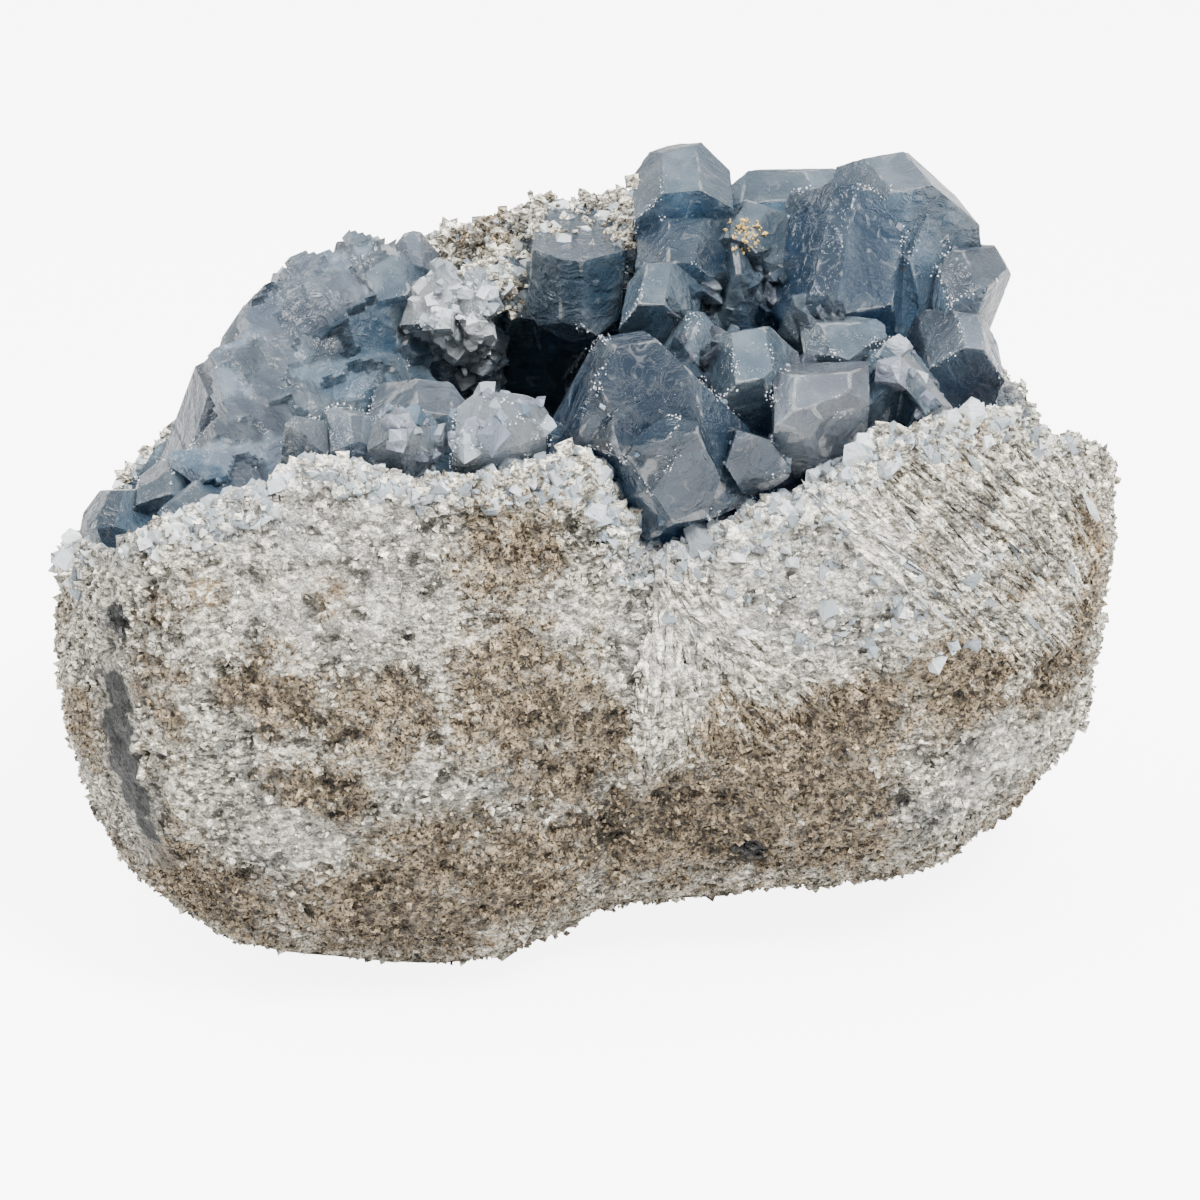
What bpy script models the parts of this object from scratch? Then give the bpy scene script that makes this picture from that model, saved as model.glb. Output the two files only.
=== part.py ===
"""A celestite geode: a rounded nodule, broken open at the top, whose hollow is lined with pale blue crystals.

Run with  blender --background --python part.py  or from Blender's text editor.
Lengths below are millimetres and become metres in the meshes.  +Z is up, +X runs along the
stone's length, -Y is the side of its tall front wall, and it rests on a flat on its underside.
Two pieces: the granular rind, and the crust of crystals grown together on the wall of its hollow.
"""

import math
import random

import bmesh
import bpy
import numpy as np
from mathutils import Matrix, Vector, noise

MM = 0.001

# The nodule is two swollen lobes grown together: centre, then reach to the left, right, front,
# back, down and up.
LEFT_LOBE = ((-26.9, 0.6, 40.3), (38.7, 38.7, 37.5, 40.7, 44.3, 48.4))
RIGHT_LOBE = ((19.3, 5.6, 44.6), (41.9, 43.9, 33.5, 34.7, 42.2, 46.6))
LOBE_SQUARENESS = 2.5
LOBE_BLEND = 0.11
HEART = Vector((-2.0, 3.0, 64.0))
FARTHEST_SKIN = 140.0
SKIN_HALVINGS = 32

# Lumps and hollows of the skin: centre, radius across, and height (negative is a dent).
LUMPS = (
    ((-52.0, -24.0, 30.0), 20.0, 1.6),
    ((-14.0, -42.0, 40.0), 22.0, 1.5),
    ((36.0, -20.0, 50.0), 20.0, 2.0),
    ((48.0, -12.0, 18.0), 14.0, -2.5),
    ((52.0, 0.0, 8.0), 16.0, 2.0),
    ((4.0, -34.0, 22.0), 11.0, -3.0),
    ((4.0, -38.0, 64.0), 10.0, -3.0),
    ((30.0, 44.0, 44.0), 22.0, 2.0),
    ((-30.0, 30.0, 36.0), 20.0, 2.2),
    ((2.0, 36.0, 30.0), 14.0, -3.0),
    ((13.0, 13.0, 2.0), 18.0, 6.0),
)
LUMP_RELIEF = 1.7
LUMP_SPACING = 15.0
PIT_RELIEF = 0.8
PIT_SPACING = 5.5

# Height of the broken rim, going round from +X towards +Y: degrees and millimetres.
RIM_HEIGHTS = (
    (0, 59.5),
    (10, 54.5),
    (18, 52.0),
    (24, 55.0),
    (30, 63.0),
    (45, 76.0),
    (70, 82.0),
    (91, 84.5),
    (107, 83.5),
    (120, 80.0),
    (131, 74.5),
    (138, 66.0),
    (145, 57.5),
    (152, 50.5),
    (160, 45.5),
    (170, 45.0),
    (180, 47.5),
    (190, 50.5),
    (197, 55.0),
    (202, 58.5),
    (212, 63.0),
    (217, 67.5),
    (223, 72.5),
    (229, 74.0),
    (236, 71.5),
    (265, 72.5),
    (276, 72.5),
    (280, 66.0),
    (285, 58.5),
    (293, 61.5),
    (301, 64.5),
    (309, 66.5),
    (317, 70.5),
    (326, 74.0),
    (339, 75.0),
    (348, 67.0),
    (360, 59.5),
)
RIM_ROUNDING = 5.0
RIM_FLARE = 3.0
CRUST_FLARE = 0.5
RIM_RAGGEDNESS = 2.0
WALL = 12.0
LINING = 3.5
BARE_RIM = 3.5
VOID_FLARE = 5.0
FIT_GAP = 0.3
LINING_OVERLAP = 1.5
LEAST_REACH = 6.0
WALL_UNEVENNESS = 0.25
WALL_SPACING = 13.0
RAGGED_SPACING = 9.0

# The large crystals: root, tip, width, thickness, the way the broad face looks, slope of the
# end faces in degrees, and how much of the width stays flat at the tip.
LARGE_CRYSTALS = (
    ("front_slab", (8, -24, 54), (3, -17, 82), 24, 12, (0.1, -1, 0.3), 56, 0.3),
    ("notch_block", (4, -24, 56), (10, -29, 75.5), 11, 10, (0, -1, 0.2), 48, 0.35),
    ("dark_stub", (18, -16, 66), (18, -32, 72), 7.5, 7, (0.3, 0, 1), 35, 0.5),
    ("mauve_boulder", (25, -12, 60), (25.3, -22, 78.5), 11, 10.5, (0, -1, 0.2), 35, 0.55),
    ("centre_left", (15, 0, 58), (10.5, -11, 81), 11, 9, (-0.3, -1, 0.2), 50, 0.2),
    ("centre_ridge", (20, -6, 58), (18, -17, 81), 12, 10, (0.1, -1, 0.3), 48, 0.5),
    ("smoky_point", (10, 8, 58), (6.5, -4, 84), 9, 8, (-0.2, -1, 0.4), 55, 0.45),
    ("centre_blade", (19, 10, 60), (16, 2, 85), 11, 8, (0, -1, 0.2), 62, 0.1),
    ("summit", (12, 22, 64), (9.5, 12, 93), 12, 12, (0, -1, 0.1), 42, 0.5),
    ("summit_foot", (13, 16, 60), (11, 4, 87.5), 14, 12, (-0.1, -1, 0.2), 45, 0.4),
    ("valley_face", (21, 18, 64), (18, 7, 88), 13, 9, (-0.4, -1, 0.5), 50, 0.3),
    ("roof_blade", (23, 26, 66), (22, 17, 88.5), 15, 7, (0, -1, 0.4), 20, 0.8),
    ("great_block", (31, 17, 70), (27, -1, 85.5), 15, 19, (0.1, 0.3, 1), 42, 0.35),
    ("great_shoulder", (39, 17, 58), (34.3, 11, 92.8), 17.5, 14, (0.2, -1, 0.2), 50, 0.35),
    ("shoulder_flank", (43, 14, 62), (36.5, 9, 88.5), 7, 9, (0.5, -1, 0.2), 55, 0.2),
    ("right_knob", (40, 18, 66), (41, 9, 86.5), 6, 6, (0.2, -1, 0.4), 40, 0.4),
    ("right_spur", (39, 14, 60), (45.4, 5, 83), 9, 9, (0.4, -1, 0.4), 44, 0.7),
    ("right_foot", (38, 8, 56), (44.2, 0, 77), 10, 9, (0.3, -1, 0.3), 46, 0.5),
    ("fore_right_block", (31, 0, 58), (28.5, -9, 79), 10, 9, (0, -1, 0.3), 30, 0.6),
    ("fore_right_wedge", (36, -6, 58), (33.5, -13, 78), 9, 8, (0.2, -1, 0.3), 45, 0.3),
    ("rim_blade", (40.5, -18.5, 71), (33, -13, 79.5), 3.4, 3, (0, -1, 1), 30, 0.5),
    ("hanging_block", (-3, 26, 76.5), (-3, 6, 76), 11.5, 13, (0.1, 0.3, 1), 45, 0.3),
    ("hanging_crown", (-2, 28, 66), (1, 16, 80.5), 8, 8, (0, -1, 0.3), 40, 0.4),
    ("back_panel", (-10, 30, 62), (-9.5, 15, 76), 13, 9, (0, -1, 0.6), 25, 0.7),
    ("pale_cluster_left", (-22, 30, 58), (-19, 9, 77), 8, 8, (0, -1, 0.4), 48, 0.3),
    ("pale_cluster_right", (-16, 28, 58), (-14.5, 9, 77.5), 7, 7, (0.3, -1, 0.3), 45, 0.4),
    ("wall_panel", (-30, 28, 56), (-26, 14, 78), 11, 8, (0.4, -1, 0.3), 40, 0.5),
    ("wall_panel_low", (-36, 22, 48), (-26.5, 9, 69.5), 14, 10, (0.4, -1, 0.3), 40, 0.5),
    ("dark_knob", (-26, 30, 58), (-23, 20, 79), 7, 7, (0.2, -1, 0.4), 45, 0.4),
    ("left_wall_high", (-38, 24, 54), (-31.5, 14, 77.5), 13, 11, (0.4, -1, 0.3), 42, 0.4),
    ("left_wall_crest", (-44, 18, 54), (-39, 12, 73), 12, 10, (0.5, -1, 0.3), 45, 0.4),
    ("left_wall_low", (-48, 8, 50), (-41, 4, 69), 12, 10, (0.5, -1, 0.3), 40, 0.4),
    ("left_wall_foot", (-40, 12, 48), (-33, 4, 67), 11, 10, (0.4, -1, 0.3), 45, 0.3),
    ("mauve_left", (-46, 2, 46), (-42, -6, 65), 12, 11, (0.3, -1, 0.3), 40, 0.5),
    ("hollow_boulder", (-27, 6, 8), (-20, -3, 70), 14, 12, (0, -1, 0.3), 42, 0.4),
    ("left_tip_crystal", (-55, -2, 46), (-50, -10, 62), 8, 7, (0.2, -1, 0.4), 48, 0.3),
    ("left_end_block", (-55, -6, 46), (-58, -11, 58.5), 9, 8, (-0.2, -1, 0.4), 38, 0.5),
    ("left_rim_plate", (-48, -8, 50), (-47, -18, 62), 8, 5, (0.2, -1, 1), 35, 0.5),
    ("front_rim_triangle", (-24, -19, 60), (-22, -28, 77), 7.5, 6, (0, -1, 0.3), 55, 0.2),
    ("front_rim_cube", (-12, -18, 60), (-11, -27, 77), 10.5, 8, (0, -1, 0.3), 30, 0.6),
    ("front_rim_dark", (-30, -18, 60), (-27.5, -26, 75.5), 6, 6, (0.2, -1, 0.3), 40, 0.4),
    ("front_rim_small", (-35, -18, 60), (-33, -26, 75), 5.5, 5, (0, -1, 0.3), 40, 0.4),
    ("left_wall_step", (-41, 20, 54), (-35.5, 13.5, 75.6), 8, 8, (0.4, -1, 0.3), 42, 0.4),
    ("left_wall_ledge", (-47, 13, 52), (-41.5, 8, 70.8), 8, 8, (0.5, -1, 0.3), 42, 0.4),
    ("wall_notch", (-33, 26, 56), (-27.8, 17, 79.6), 7, 7, (0.4, -1, 0.3), 42, 0.4),
)

# How a crystal is cut.  Starts and depths are shares of its size, tilts and slopes are degrees.
LARGE_CRYSTAL_SEED = 17
SIDE_FACE_TILT = 52.0
SIDE_FACE_START = (0.40, 0.47)
SIDE_FACE_DEPTH = 0.34
SIDE_FACE_LEAN = (-0.04, 0.1)
LEAST_LEAN = 0.015
END_FACE_SKEW = (-0.12, 0.12)
SLOPE_SPREAD = (-5, 5)
BLUNT_SPREAD = (0.35, 1.1)
BROAD_END_SLOPE = (30, 50)
BROAD_END_START = (0.25, 0.7)

# Small crystals over the hollow's wall and along its rim, but for the bare stretch at the back.
SMALL_CRYSTAL_SEED = 3
SMALL_CRYSTALS_ON_WALL = 11
SMALL_CRYSTALS_ON_RIM = 17
BARE_BEARINGS = (60, 132)
SMALL_CRYSTAL_SLIMNESS = 0.78
SMALL_CRYSTAL_SLOPE = (32, 55)
SMALL_CRYSTAL_BLUNT = (0.2, 0.6)
WALL_CRYSTAL_SIZE = (7.0, 11.0)
WALL_CRYSTAL_DEPTH = 2.0
WALL_CRYSTAL_LEAN = 0.5
LOWEST_TILT = -85
BELOW_RIM = 8
RIM_CRYSTAL_SIZE = (4.0, 7.5)
RIM_CRYSTAL_DEPTH = 5.0
RIM_CRYSTAL_LEAN = 0.4
RIM_CRYSTAL_INWARD = 0.6
RIM_CRYSTAL_BELOW = 7
RIM_CRYSTAL_SHIFT = 0.4


def clear_scene():
    """Start from an empty scene."""
    for leftover in list(bpy.data.objects):
        bpy.data.objects.remove(leftover, do_unlink=True)


def finish(name, colour, roughness):
    """A plain surface for one piece."""
    surface = bpy.data.materials.new(name)
    surface.use_nodes = True
    shader = surface.node_tree.nodes["Principled BSDF"]
    shader.inputs["Base Color"].default_value = (*colour, 1.0)
    shader.inputs["Roughness"].default_value = roughness
    shader.inputs["Metallic"].default_value = 0.0
    return surface


def place(name, shape, surface=None):
    """Turn a bmesh in millimetres into an object in metres."""
    shape.transform(Matrix.Scale(MM, 4))
    mesh = bpy.data.meshes.new(name)
    shape.to_mesh(mesh)
    shape.free()
    piece = bpy.data.objects.new(name, mesh)
    bpy.context.scene.collection.objects.link(piece)
    if surface:
        mesh.materials.append(surface)
    return piece


def face_outward(shape):
    """Turn every face of a closed shape to look outward."""
    bmesh.ops.recalc_face_normals(shape, faces=shape.faces)
    if shape.calc_volume(signed=True) < 0:
        bmesh.ops.reverse_faces(shape, faces=shape.faces)
    return shape


def helper(piece):
    """Keep an object only as a cutter or a shape to join."""
    piece.hide_render = True
    piece.display_type = "WIRE"
    return piece


def combine(piece, other, operation, solver="EXACT"):
    """Add a Boolean between a piece and a helper."""
    cut = piece.modifiers.new(f"{operation.lower()} {other.name}", "BOOLEAN")
    cut.operation = operation
    cut.solver = solver
    if solver == "EXACT":
        cut.use_self = operation == "UNION"
    cut.object = other


def lobe_gauge(points, lobe):
    """1 on a lobe's skin, less inside it and more outside it."""
    centre, reaches = lobe
    offsets = points - np.array(centre)
    lower, upper = np.array(reaches[0::2]), np.array(reaches[1::2])
    parts = np.abs(offsets) / np.where(offsets < 0, lower, upper)
    return (parts**LOBE_SQUARENESS).sum(axis=1) ** (1.0 / LOBE_SQUARENESS)


def nodule_gauge(points):
    """The two lobes melted together along a soft crease."""
    left = lobe_gauge(points, LEFT_LOBE)
    right = lobe_gauge(points, RIGHT_LOBE)
    return -LOBE_BLEND * np.logaddexp(-left / LOBE_BLEND, -right / LOBE_BLEND)


def skin_reach(directions):
    """Distance from the heart to the smooth nodule's skin along each direction."""
    near = np.zeros(len(directions))
    far = np.full(len(directions), FARTHEST_SKIN)
    for _ in range(SKIN_HALVINGS):
        middle = (near + far) / 2
        inside = nodule_gauge(np.array(HEART) + directions * middle[:, None]) < 1.0
        near = np.where(inside, middle, near)
        far = np.where(inside, far, middle)
    return near


def rim_height(degrees):
    """Height of the rim at a bearing, eased from one stated height to the next."""
    for (start, low), (end, high) in zip(RIM_HEIGHTS, RIM_HEIGHTS[1:]):
        if start <= degrees <= end:
            share = (degrees - start) / (end - start)
            return low + (high - low) * share * share * (3 - 2 * share)
    return RIM_HEIGHTS[0][1]


def height_over_rim(point):
    """How far a point of the skin stands above the ragged rim beside it."""
    bearing = math.degrees(math.atan2(point.y - HEART.y, point.x - HEART.x)) % 360
    ragged = RIM_RAGGEDNESS * noise.noise(point / RAGGED_SPACING)
    return point.z - rim_height(bearing) - ragged


def relief(point):
    """Lumps, dents and pits of the weathered skin at a point of the smooth nodule."""
    height = 0.0
    for centre, across, rise in LUMPS:
        height += rise * math.exp(-((point - Vector(centre)).length / across) ** 2)
    height += LUMP_RELIEF * noise.noise(point / LUMP_SPACING)
    height += PIT_RELIEF * noise.noise(point / PIT_SPACING)
    return height


def hollow_reach(directions, inset, flare=CRUST_FLARE, bare=0.0):
    """Distance from the heart to the hollow's wall, and to outside the stone above the rim."""
    reach = skin_reach(directions)
    walls = []
    for direction, far in zip(directions, reach):
        point = HEART + Vector(direction) * far
        over = height_over_rim(point)
        uneven = 1.0 + WALL_UNEVENNESS * noise.noise(point / WALL_SPACING)
        wall = WALL * uneven * (1.0 - math.exp(min(over, -bare) / RIM_ROUNDING))
        walls.append(wall + inset - flare * max(over + bare, 0.0))
    return np.maximum(reach - np.array(walls), LEAST_REACH)


def star_solid(subdivisions, reach_of):
    """A closed solid seen from the heart, with its skin at the stated distance each way."""
    shape = bmesh.new()
    bmesh.ops.create_icosphere(shape, subdivisions=subdivisions, radius=1.0)
    directions = np.array([corner.co.normalized() for corner in shape.verts])
    for corner, direction, far in zip(shape.verts, directions, reach_of(directions)):
        corner.co = HEART + Vector(direction) * far
    return shape


def nodule():
    """The whole nodule with its weathered skin and the flat that it stands on."""
    shape = star_solid(5, skin_reach)
    for corner in shape.verts:
        outward = (corner.co - HEART).normalized()
        corner.co = corner.co + outward * relief(corner.co)
    cut = bmesh.ops.bisect_plane(
        shape,
        geom=shape.verts[:] + shape.edges[:] + shape.faces[:],
        plane_co=(0, 0, 0),
        plane_no=(0, 0, -1),
        clear_outer=True,
    )
    rim_edges = [edge for edge in cut["geom_cut"] if isinstance(edge, bmesh.types.BMEdge)]
    bmesh.ops.contextual_create(shape, geom=rim_edges)
    return face_outward(shape)


def slice_off(shape, point, outward):
    """Cut a closed shape by a plane, drop what lies outward of it and close the cut."""
    cut = bmesh.ops.bisect_plane(
        shape,
        geom=shape.verts[:] + shape.edges[:] + shape.faces[:],
        plane_co=point,
        plane_no=Vector(outward).normalized(),
        clear_outer=True,
    )
    edges = [edge for edge in cut["geom_cut"] if isinstance(edge, bmesh.types.BMEdge)]
    if edges:
        bmesh.ops.contextual_create(shape, geom=edges)


def crystal(root, tip, width, thickness, facing, slope, blunt, chance, sides=True):
    """One crystal: a block with some corners cut away along its length, and a roof-shaped end.

    The end slopes down to both sides and away from the viewer, so the broad face stays whole.
    """
    root, tip = Vector(root), Vector(tip)
    along = (tip - root).normalized()
    across = Vector(facing).cross(along).normalized()
    broad = along.cross(across)
    length = (tip - root).length
    shape = bmesh.new()
    bmesh.ops.create_cube(shape, size=1.0)
    for corner in shape.verts:
        corner.co = Vector((corner.co.x * width, corner.co.y * thickness, (corner.co.z + 0.5) * length))
    if sides:
        side = math.radians(SIDE_FACE_TILT)
        for east in (1, -1):
            for north in (1, -1):
                reach = width * chance.uniform(*SIDE_FACE_START)
                start = Vector((east * reach, north * thickness * SIDE_FACE_DEPTH, 0))
                lean = chance.uniform(*SIDE_FACE_LEAN)
                if lean > LEAST_LEAN:
                    slice_off(shape, start, (east * math.cos(side), north * math.sin(side), lean))
    for east in (1, -1):
        tilt = math.radians(slope + chance.uniform(*SLOPE_SPREAD))
        start = Vector((east * 0.5 * width * blunt * chance.uniform(*BLUNT_SPREAD), 0, length))
        slice_off(shape, start, (east * math.sin(tilt), chance.uniform(*END_FACE_SKEW), math.cos(tilt)))
    tilt = math.radians(chance.uniform(*BROAD_END_SLOPE))
    start = Vector((0, -0.5 * thickness * chance.uniform(*BROAD_END_START), length))
    slice_off(shape, start, (chance.uniform(*END_FACE_SKEW), -math.sin(tilt), math.cos(tilt)))
    frame = Matrix((across, broad, along)).transposed().to_4x4()
    shape.transform(Matrix.Translation(root) @ frame)
    return face_outward(shape)


def wall_point(bearing, tilt):
    """Where a line from the heart meets the hollow's wall; tilt is degrees above level."""
    bearing, tilt = math.radians(bearing), math.radians(tilt)
    direction = np.array(
        [[math.cos(bearing) * math.cos(tilt), math.sin(bearing) * math.cos(tilt), math.sin(tilt)]]
    )
    far = hollow_reach(direction, FIT_GAP)[0]
    return HEART + Vector(direction[0]) * far, Vector(direction[0])


def rim_tilt(bearing):
    """Degrees above level at which the heart sees the rim in a bearing."""
    for tilt in range(-30, 60, 2):
        point, direction = wall_point(bearing, tilt)
        skin = HEART + direction * skin_reach(np.array([direction]))[0]
        if height_over_rim(skin) > -1.0:
            return tilt
    return 60


def small_crystals(chance):
    """Small crystals of the crust, scattered over the wall and crowded along the rim."""
    grown = []

    def grow(point, way, size, depth):
        """One small crystal standing on a point of the wall."""
        facing = Vector([chance.uniform(-1, 1) for _ in range(3)])
        placed = (point - way * depth, point + way * size, size, size * SMALL_CRYSTAL_SLIMNESS, facing)
        slope, blunt = chance.uniform(*SMALL_CRYSTAL_SLOPE), chance.uniform(*SMALL_CRYSTAL_BLUNT)
        grown.append(crystal(*placed, slope, blunt, chance, False))

    for _ in range(SMALL_CRYSTALS_ON_WALL):
        bearing = chance.uniform(0, 360)
        point, direction = wall_point(bearing, chance.uniform(LOWEST_TILT, rim_tilt(bearing) - BELOW_RIM))
        lean = Vector([chance.uniform(-WALL_CRYSTAL_LEAN, WALL_CRYSTAL_LEAN) for _ in range(3)])
        size = chance.uniform(*WALL_CRYSTAL_SIZE)
        grow(point, (lean - direction).normalized(), size, WALL_CRYSTAL_DEPTH)
    for step in range(SMALL_CRYSTALS_ON_RIM):
        shift = chance.uniform(-RIM_CRYSTAL_SHIFT, RIM_CRYSTAL_SHIFT)
        bearing = 360.0 * (step + shift) / SMALL_CRYSTALS_ON_RIM % 360
        point, direction = wall_point(bearing, rim_tilt(bearing) - RIM_CRYSTAL_BELOW)
        lean = Vector([chance.uniform(-RIM_CRYSTAL_LEAN, RIM_CRYSTAL_LEAN) for _ in range(3)])
        size = chance.uniform(*RIM_CRYSTAL_SIZE)
        if BARE_BEARINGS[0] < bearing < BARE_BEARINGS[1]:
            continue
        way = Vector((0, 0, 1)) - direction * RIM_CRYSTAL_INWARD + lean
        grow(point, way.normalized(), size, RIM_CRYSTAL_DEPTH)
    return grown


def join(shapes):
    """Gather several closed shapes in one bmesh."""
    gathered = bmesh.new()
    for shape in shapes:
        passing = bpy.data.meshes.new("passing")
        shape.to_mesh(passing)
        shape.free()
        gathered.from_mesh(passing)
        bpy.data.meshes.remove(passing)
    return gathered


def build_rind():
    """The granular outer shell, open at the top."""
    rind = place("rind", nodule(), finish("granular rind", (0.52, 0.49, 0.44), 0.85))
    hollow = helper(place("hollow", star_solid(4, lambda d: hollow_reach(d, 0.0, RIM_FLARE))))
    combine(rind, hollow, "DIFFERENCE")
    return rind


def build_crust():
    """The crystals grown together on the wall of the hollow, as one crust."""
    chance = random.Random(LARGE_CRYSTAL_SEED)
    crystals = [crystal(*placed[1:], chance) for placed in LARGE_CRYSTALS]
    crystals += small_crystals(random.Random(SMALL_CRYSTAL_SEED))
    crust = place("crystal_crust", crystals[0], finish("celestite", (0.16, 0.21, 0.27), 0.2))
    others = helper(place("other_crystals", join(crystals[1:])))
    inner = FIT_GAP + LINING
    lining = helper(place("lining", star_solid(3, lambda d: hollow_reach(d, -LINING_OVERLAP))))
    void = helper(place("void", star_solid(3, lambda d: hollow_reach(d, inner, VOID_FLARE, BARE_RIM))))
    envelope = helper(place("envelope", star_solid(4, lambda d: hollow_reach(d, FIT_GAP))))
    combine(lining, void, "DIFFERENCE")
    combine(crust, others, "UNION")
    # The exact solver leaves open edges where this many crystals meet the lining.
    combine(crust, lining, "UNION", "MANIFOLD")
    combine(crust, envelope, "INTERSECT", "MANIFOLD")
    return crust


def seat():
    """Move everything so that the whole stands on the floor, centred over the origin."""
    drawn = [thing for thing in bpy.data.objects if not thing.hide_render]
    bpy.context.view_layer.update()
    ready = bpy.context.evaluated_depsgraph_get()
    corners = []
    for piece in drawn:
        shape = piece.evaluated_get(ready).to_mesh()
        corners += [corner.co.copy() for corner in shape.vertices]
    lowest = [min(corner[axis] for corner in corners) for axis in range(3)]
    highest = [max(corner[axis] for corner in corners) for axis in range(3)]
    shift = Vector((-(lowest[0] + highest[0]) / 2, -(lowest[1] + highest[1]) / 2, -lowest[2]))
    for thing in bpy.data.objects:
        thing.data.transform(Matrix.Translation(shift))


def main():
    clear_scene()
    build_rind()
    build_crust()
    seat()


main()
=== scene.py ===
import math
import random

import bmesh
import bpy
import numpy as np
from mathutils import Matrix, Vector, noise
from mathutils.bvhtree import BVHTree
from mathutils.kdtree import KDTree


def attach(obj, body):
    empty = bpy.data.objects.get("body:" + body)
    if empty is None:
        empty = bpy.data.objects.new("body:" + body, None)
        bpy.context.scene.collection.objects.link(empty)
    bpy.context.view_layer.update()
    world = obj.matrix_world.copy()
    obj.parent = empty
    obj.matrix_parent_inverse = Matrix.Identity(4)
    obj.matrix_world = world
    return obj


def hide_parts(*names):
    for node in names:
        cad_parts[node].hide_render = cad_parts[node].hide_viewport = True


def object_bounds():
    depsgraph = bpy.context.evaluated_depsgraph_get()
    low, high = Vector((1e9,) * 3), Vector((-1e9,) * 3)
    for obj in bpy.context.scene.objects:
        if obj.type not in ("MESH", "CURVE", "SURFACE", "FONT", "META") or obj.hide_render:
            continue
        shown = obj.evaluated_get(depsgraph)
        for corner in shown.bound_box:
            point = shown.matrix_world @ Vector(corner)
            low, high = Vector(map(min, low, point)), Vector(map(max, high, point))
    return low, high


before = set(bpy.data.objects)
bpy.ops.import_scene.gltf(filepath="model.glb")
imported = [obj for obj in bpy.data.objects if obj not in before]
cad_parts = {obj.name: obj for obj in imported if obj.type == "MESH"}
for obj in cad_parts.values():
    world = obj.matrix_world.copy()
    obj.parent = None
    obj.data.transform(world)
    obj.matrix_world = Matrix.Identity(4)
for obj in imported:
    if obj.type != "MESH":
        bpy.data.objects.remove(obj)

CAD_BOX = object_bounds()
MM = 0.001
SEED = 7

# The heart of the hollow, from which the stone's skin is seen outward.
HEART = Vector((-0.4, 1.1, 64.0))

# Rind surface: size of the remeshed grain and the relief laid over it.
RIND_VOXEL = 0.85
RIND_SMOOTHING = 24
LUMP_RELIEF, LUMP_SPACING = 0.8, 7.0
CRUMB_RELIEF, CRUMB_SPACING = 0.5, 2.3
SUGAR_RELIEF, SUGAR_SPACING = 0.5, 1.3
PIT_DEPTH, PIT_SPACING = 1.1, 2.6
RIM_ZONE = 6.0
SKIN_ALLOWANCE = 0.6

# Loose grains: how many, and their smallest and largest size.
GRAIN_SIZES = ((21000, 0.35, 0.9), (21000, 0.4, 1.2), (5000, 0.7, 1.8))

# Features of the rind, each where it shows on the stone.
FAN_CENTRE = Vector((8.5, -29.0, 61.0))
FAN_REACH = 29.0
FAN_WAY = Vector((0.32, 0.0, -0.95))
FAN_SPREAD = 0.9
FAN_SPOKES = 38
RIB_START = Vector((30.0, -22.0, 76.0))
RIB_END = Vector((49.0, -21.0, 58.0))
RIB_REACH = 13.0
RIB_SPACING = 2.1
GROOVES = (
    ("crack through the fan", ((2.8, -31.7, 48.4), (8.0, -30.0, 41.0), (12.2, -29.1, 34.0)), 0.9, 1.3),
    ("crease of the lobes", ((7.3, -29.3, 58.8), (5.1, -31.0, 41.6), (2.8, -28.5, 20.2)), 2.6, 1.2),
    ("groove above the ledge", ((30.0, -27.5, 33.0), (40.0, -26.0, 33.5), (55.0, -16.0, 34.0)), 1.6, 1.4),
)
HOLES = (
    ("hole under the right lobe", (19.7, -23.6, 17.4), 2.2, 2.2),
    ("pit on the left end", (-53.9, -29.0, 50.9), 1.8, 1.8),
    ("dimple by the crease", (0.0, -33.0, 62.0), 3.0, 1.6),
)
INCLUSION_TOP = Vector((-54.6, -28.3, 43.0))
INCLUSION_FOOT = Vector((-51.4, -29.3, 20.5))
INCLUSION_WIDTH = 3.8

BOX_MARGIN = 0.02


def quick_or(full):
    return full


def to_segment(point, start, end):
    """Distance from a point to a straight stretch."""
    run = end - start
    share = max(0.0, min(1.0, (point - start).dot(run) / run.length_squared))
    return (point - start - run * share).length


def to_line(point, corners):
    """Distance from a point to a bent line."""
    stops = [Vector(corner) for corner in corners]
    return min(to_segment(point, a, b) for a, b in zip(stops, stops[1:]))


def bell(distance, width):
    """1 at the middle, easing to nothing at about twice the width."""
    return math.exp(-((distance / width) ** 2))


def new_object(name, data):
    """An object of the scene that holds some data."""
    made = bpy.data.objects.new(name, data)
    bpy.context.scene.collection.objects.link(made)
    return made


def finish_piece(piece, material):
    """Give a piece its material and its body."""
    piece.data.materials.clear()
    piece.data.materials.append(material)
    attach(piece, "root")
    return piece


def keep_in_box(points):
    """Hold points in millimetres inside the solid model's box."""
    low = np.array(CAD_BOX[0]) / MM + BOX_MARGIN
    high = np.array(CAD_BOX[1]) / MM - BOX_MARGIN
    low[2] = 0.0
    return np.clip(points, low, high)


def make_piece(name, points, faces, material):
    """A mesh piece from points in millimetres, riding on the stone."""
    mesh = bpy.data.meshes.new(name)
    mesh.from_pydata((keep_in_box(points) * MM).tolist(), [], faces)
    mesh.update()
    return finish_piece(new_object(name, mesh), material)


def add_values(mesh, name, values):
    """Store one number for each point, for the materials to read."""
    made = mesh.attributes.new(name, "FLOAT", "POINT")
    made.data.foreach_set("value", np.asarray(values, dtype=np.float32))


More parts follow.
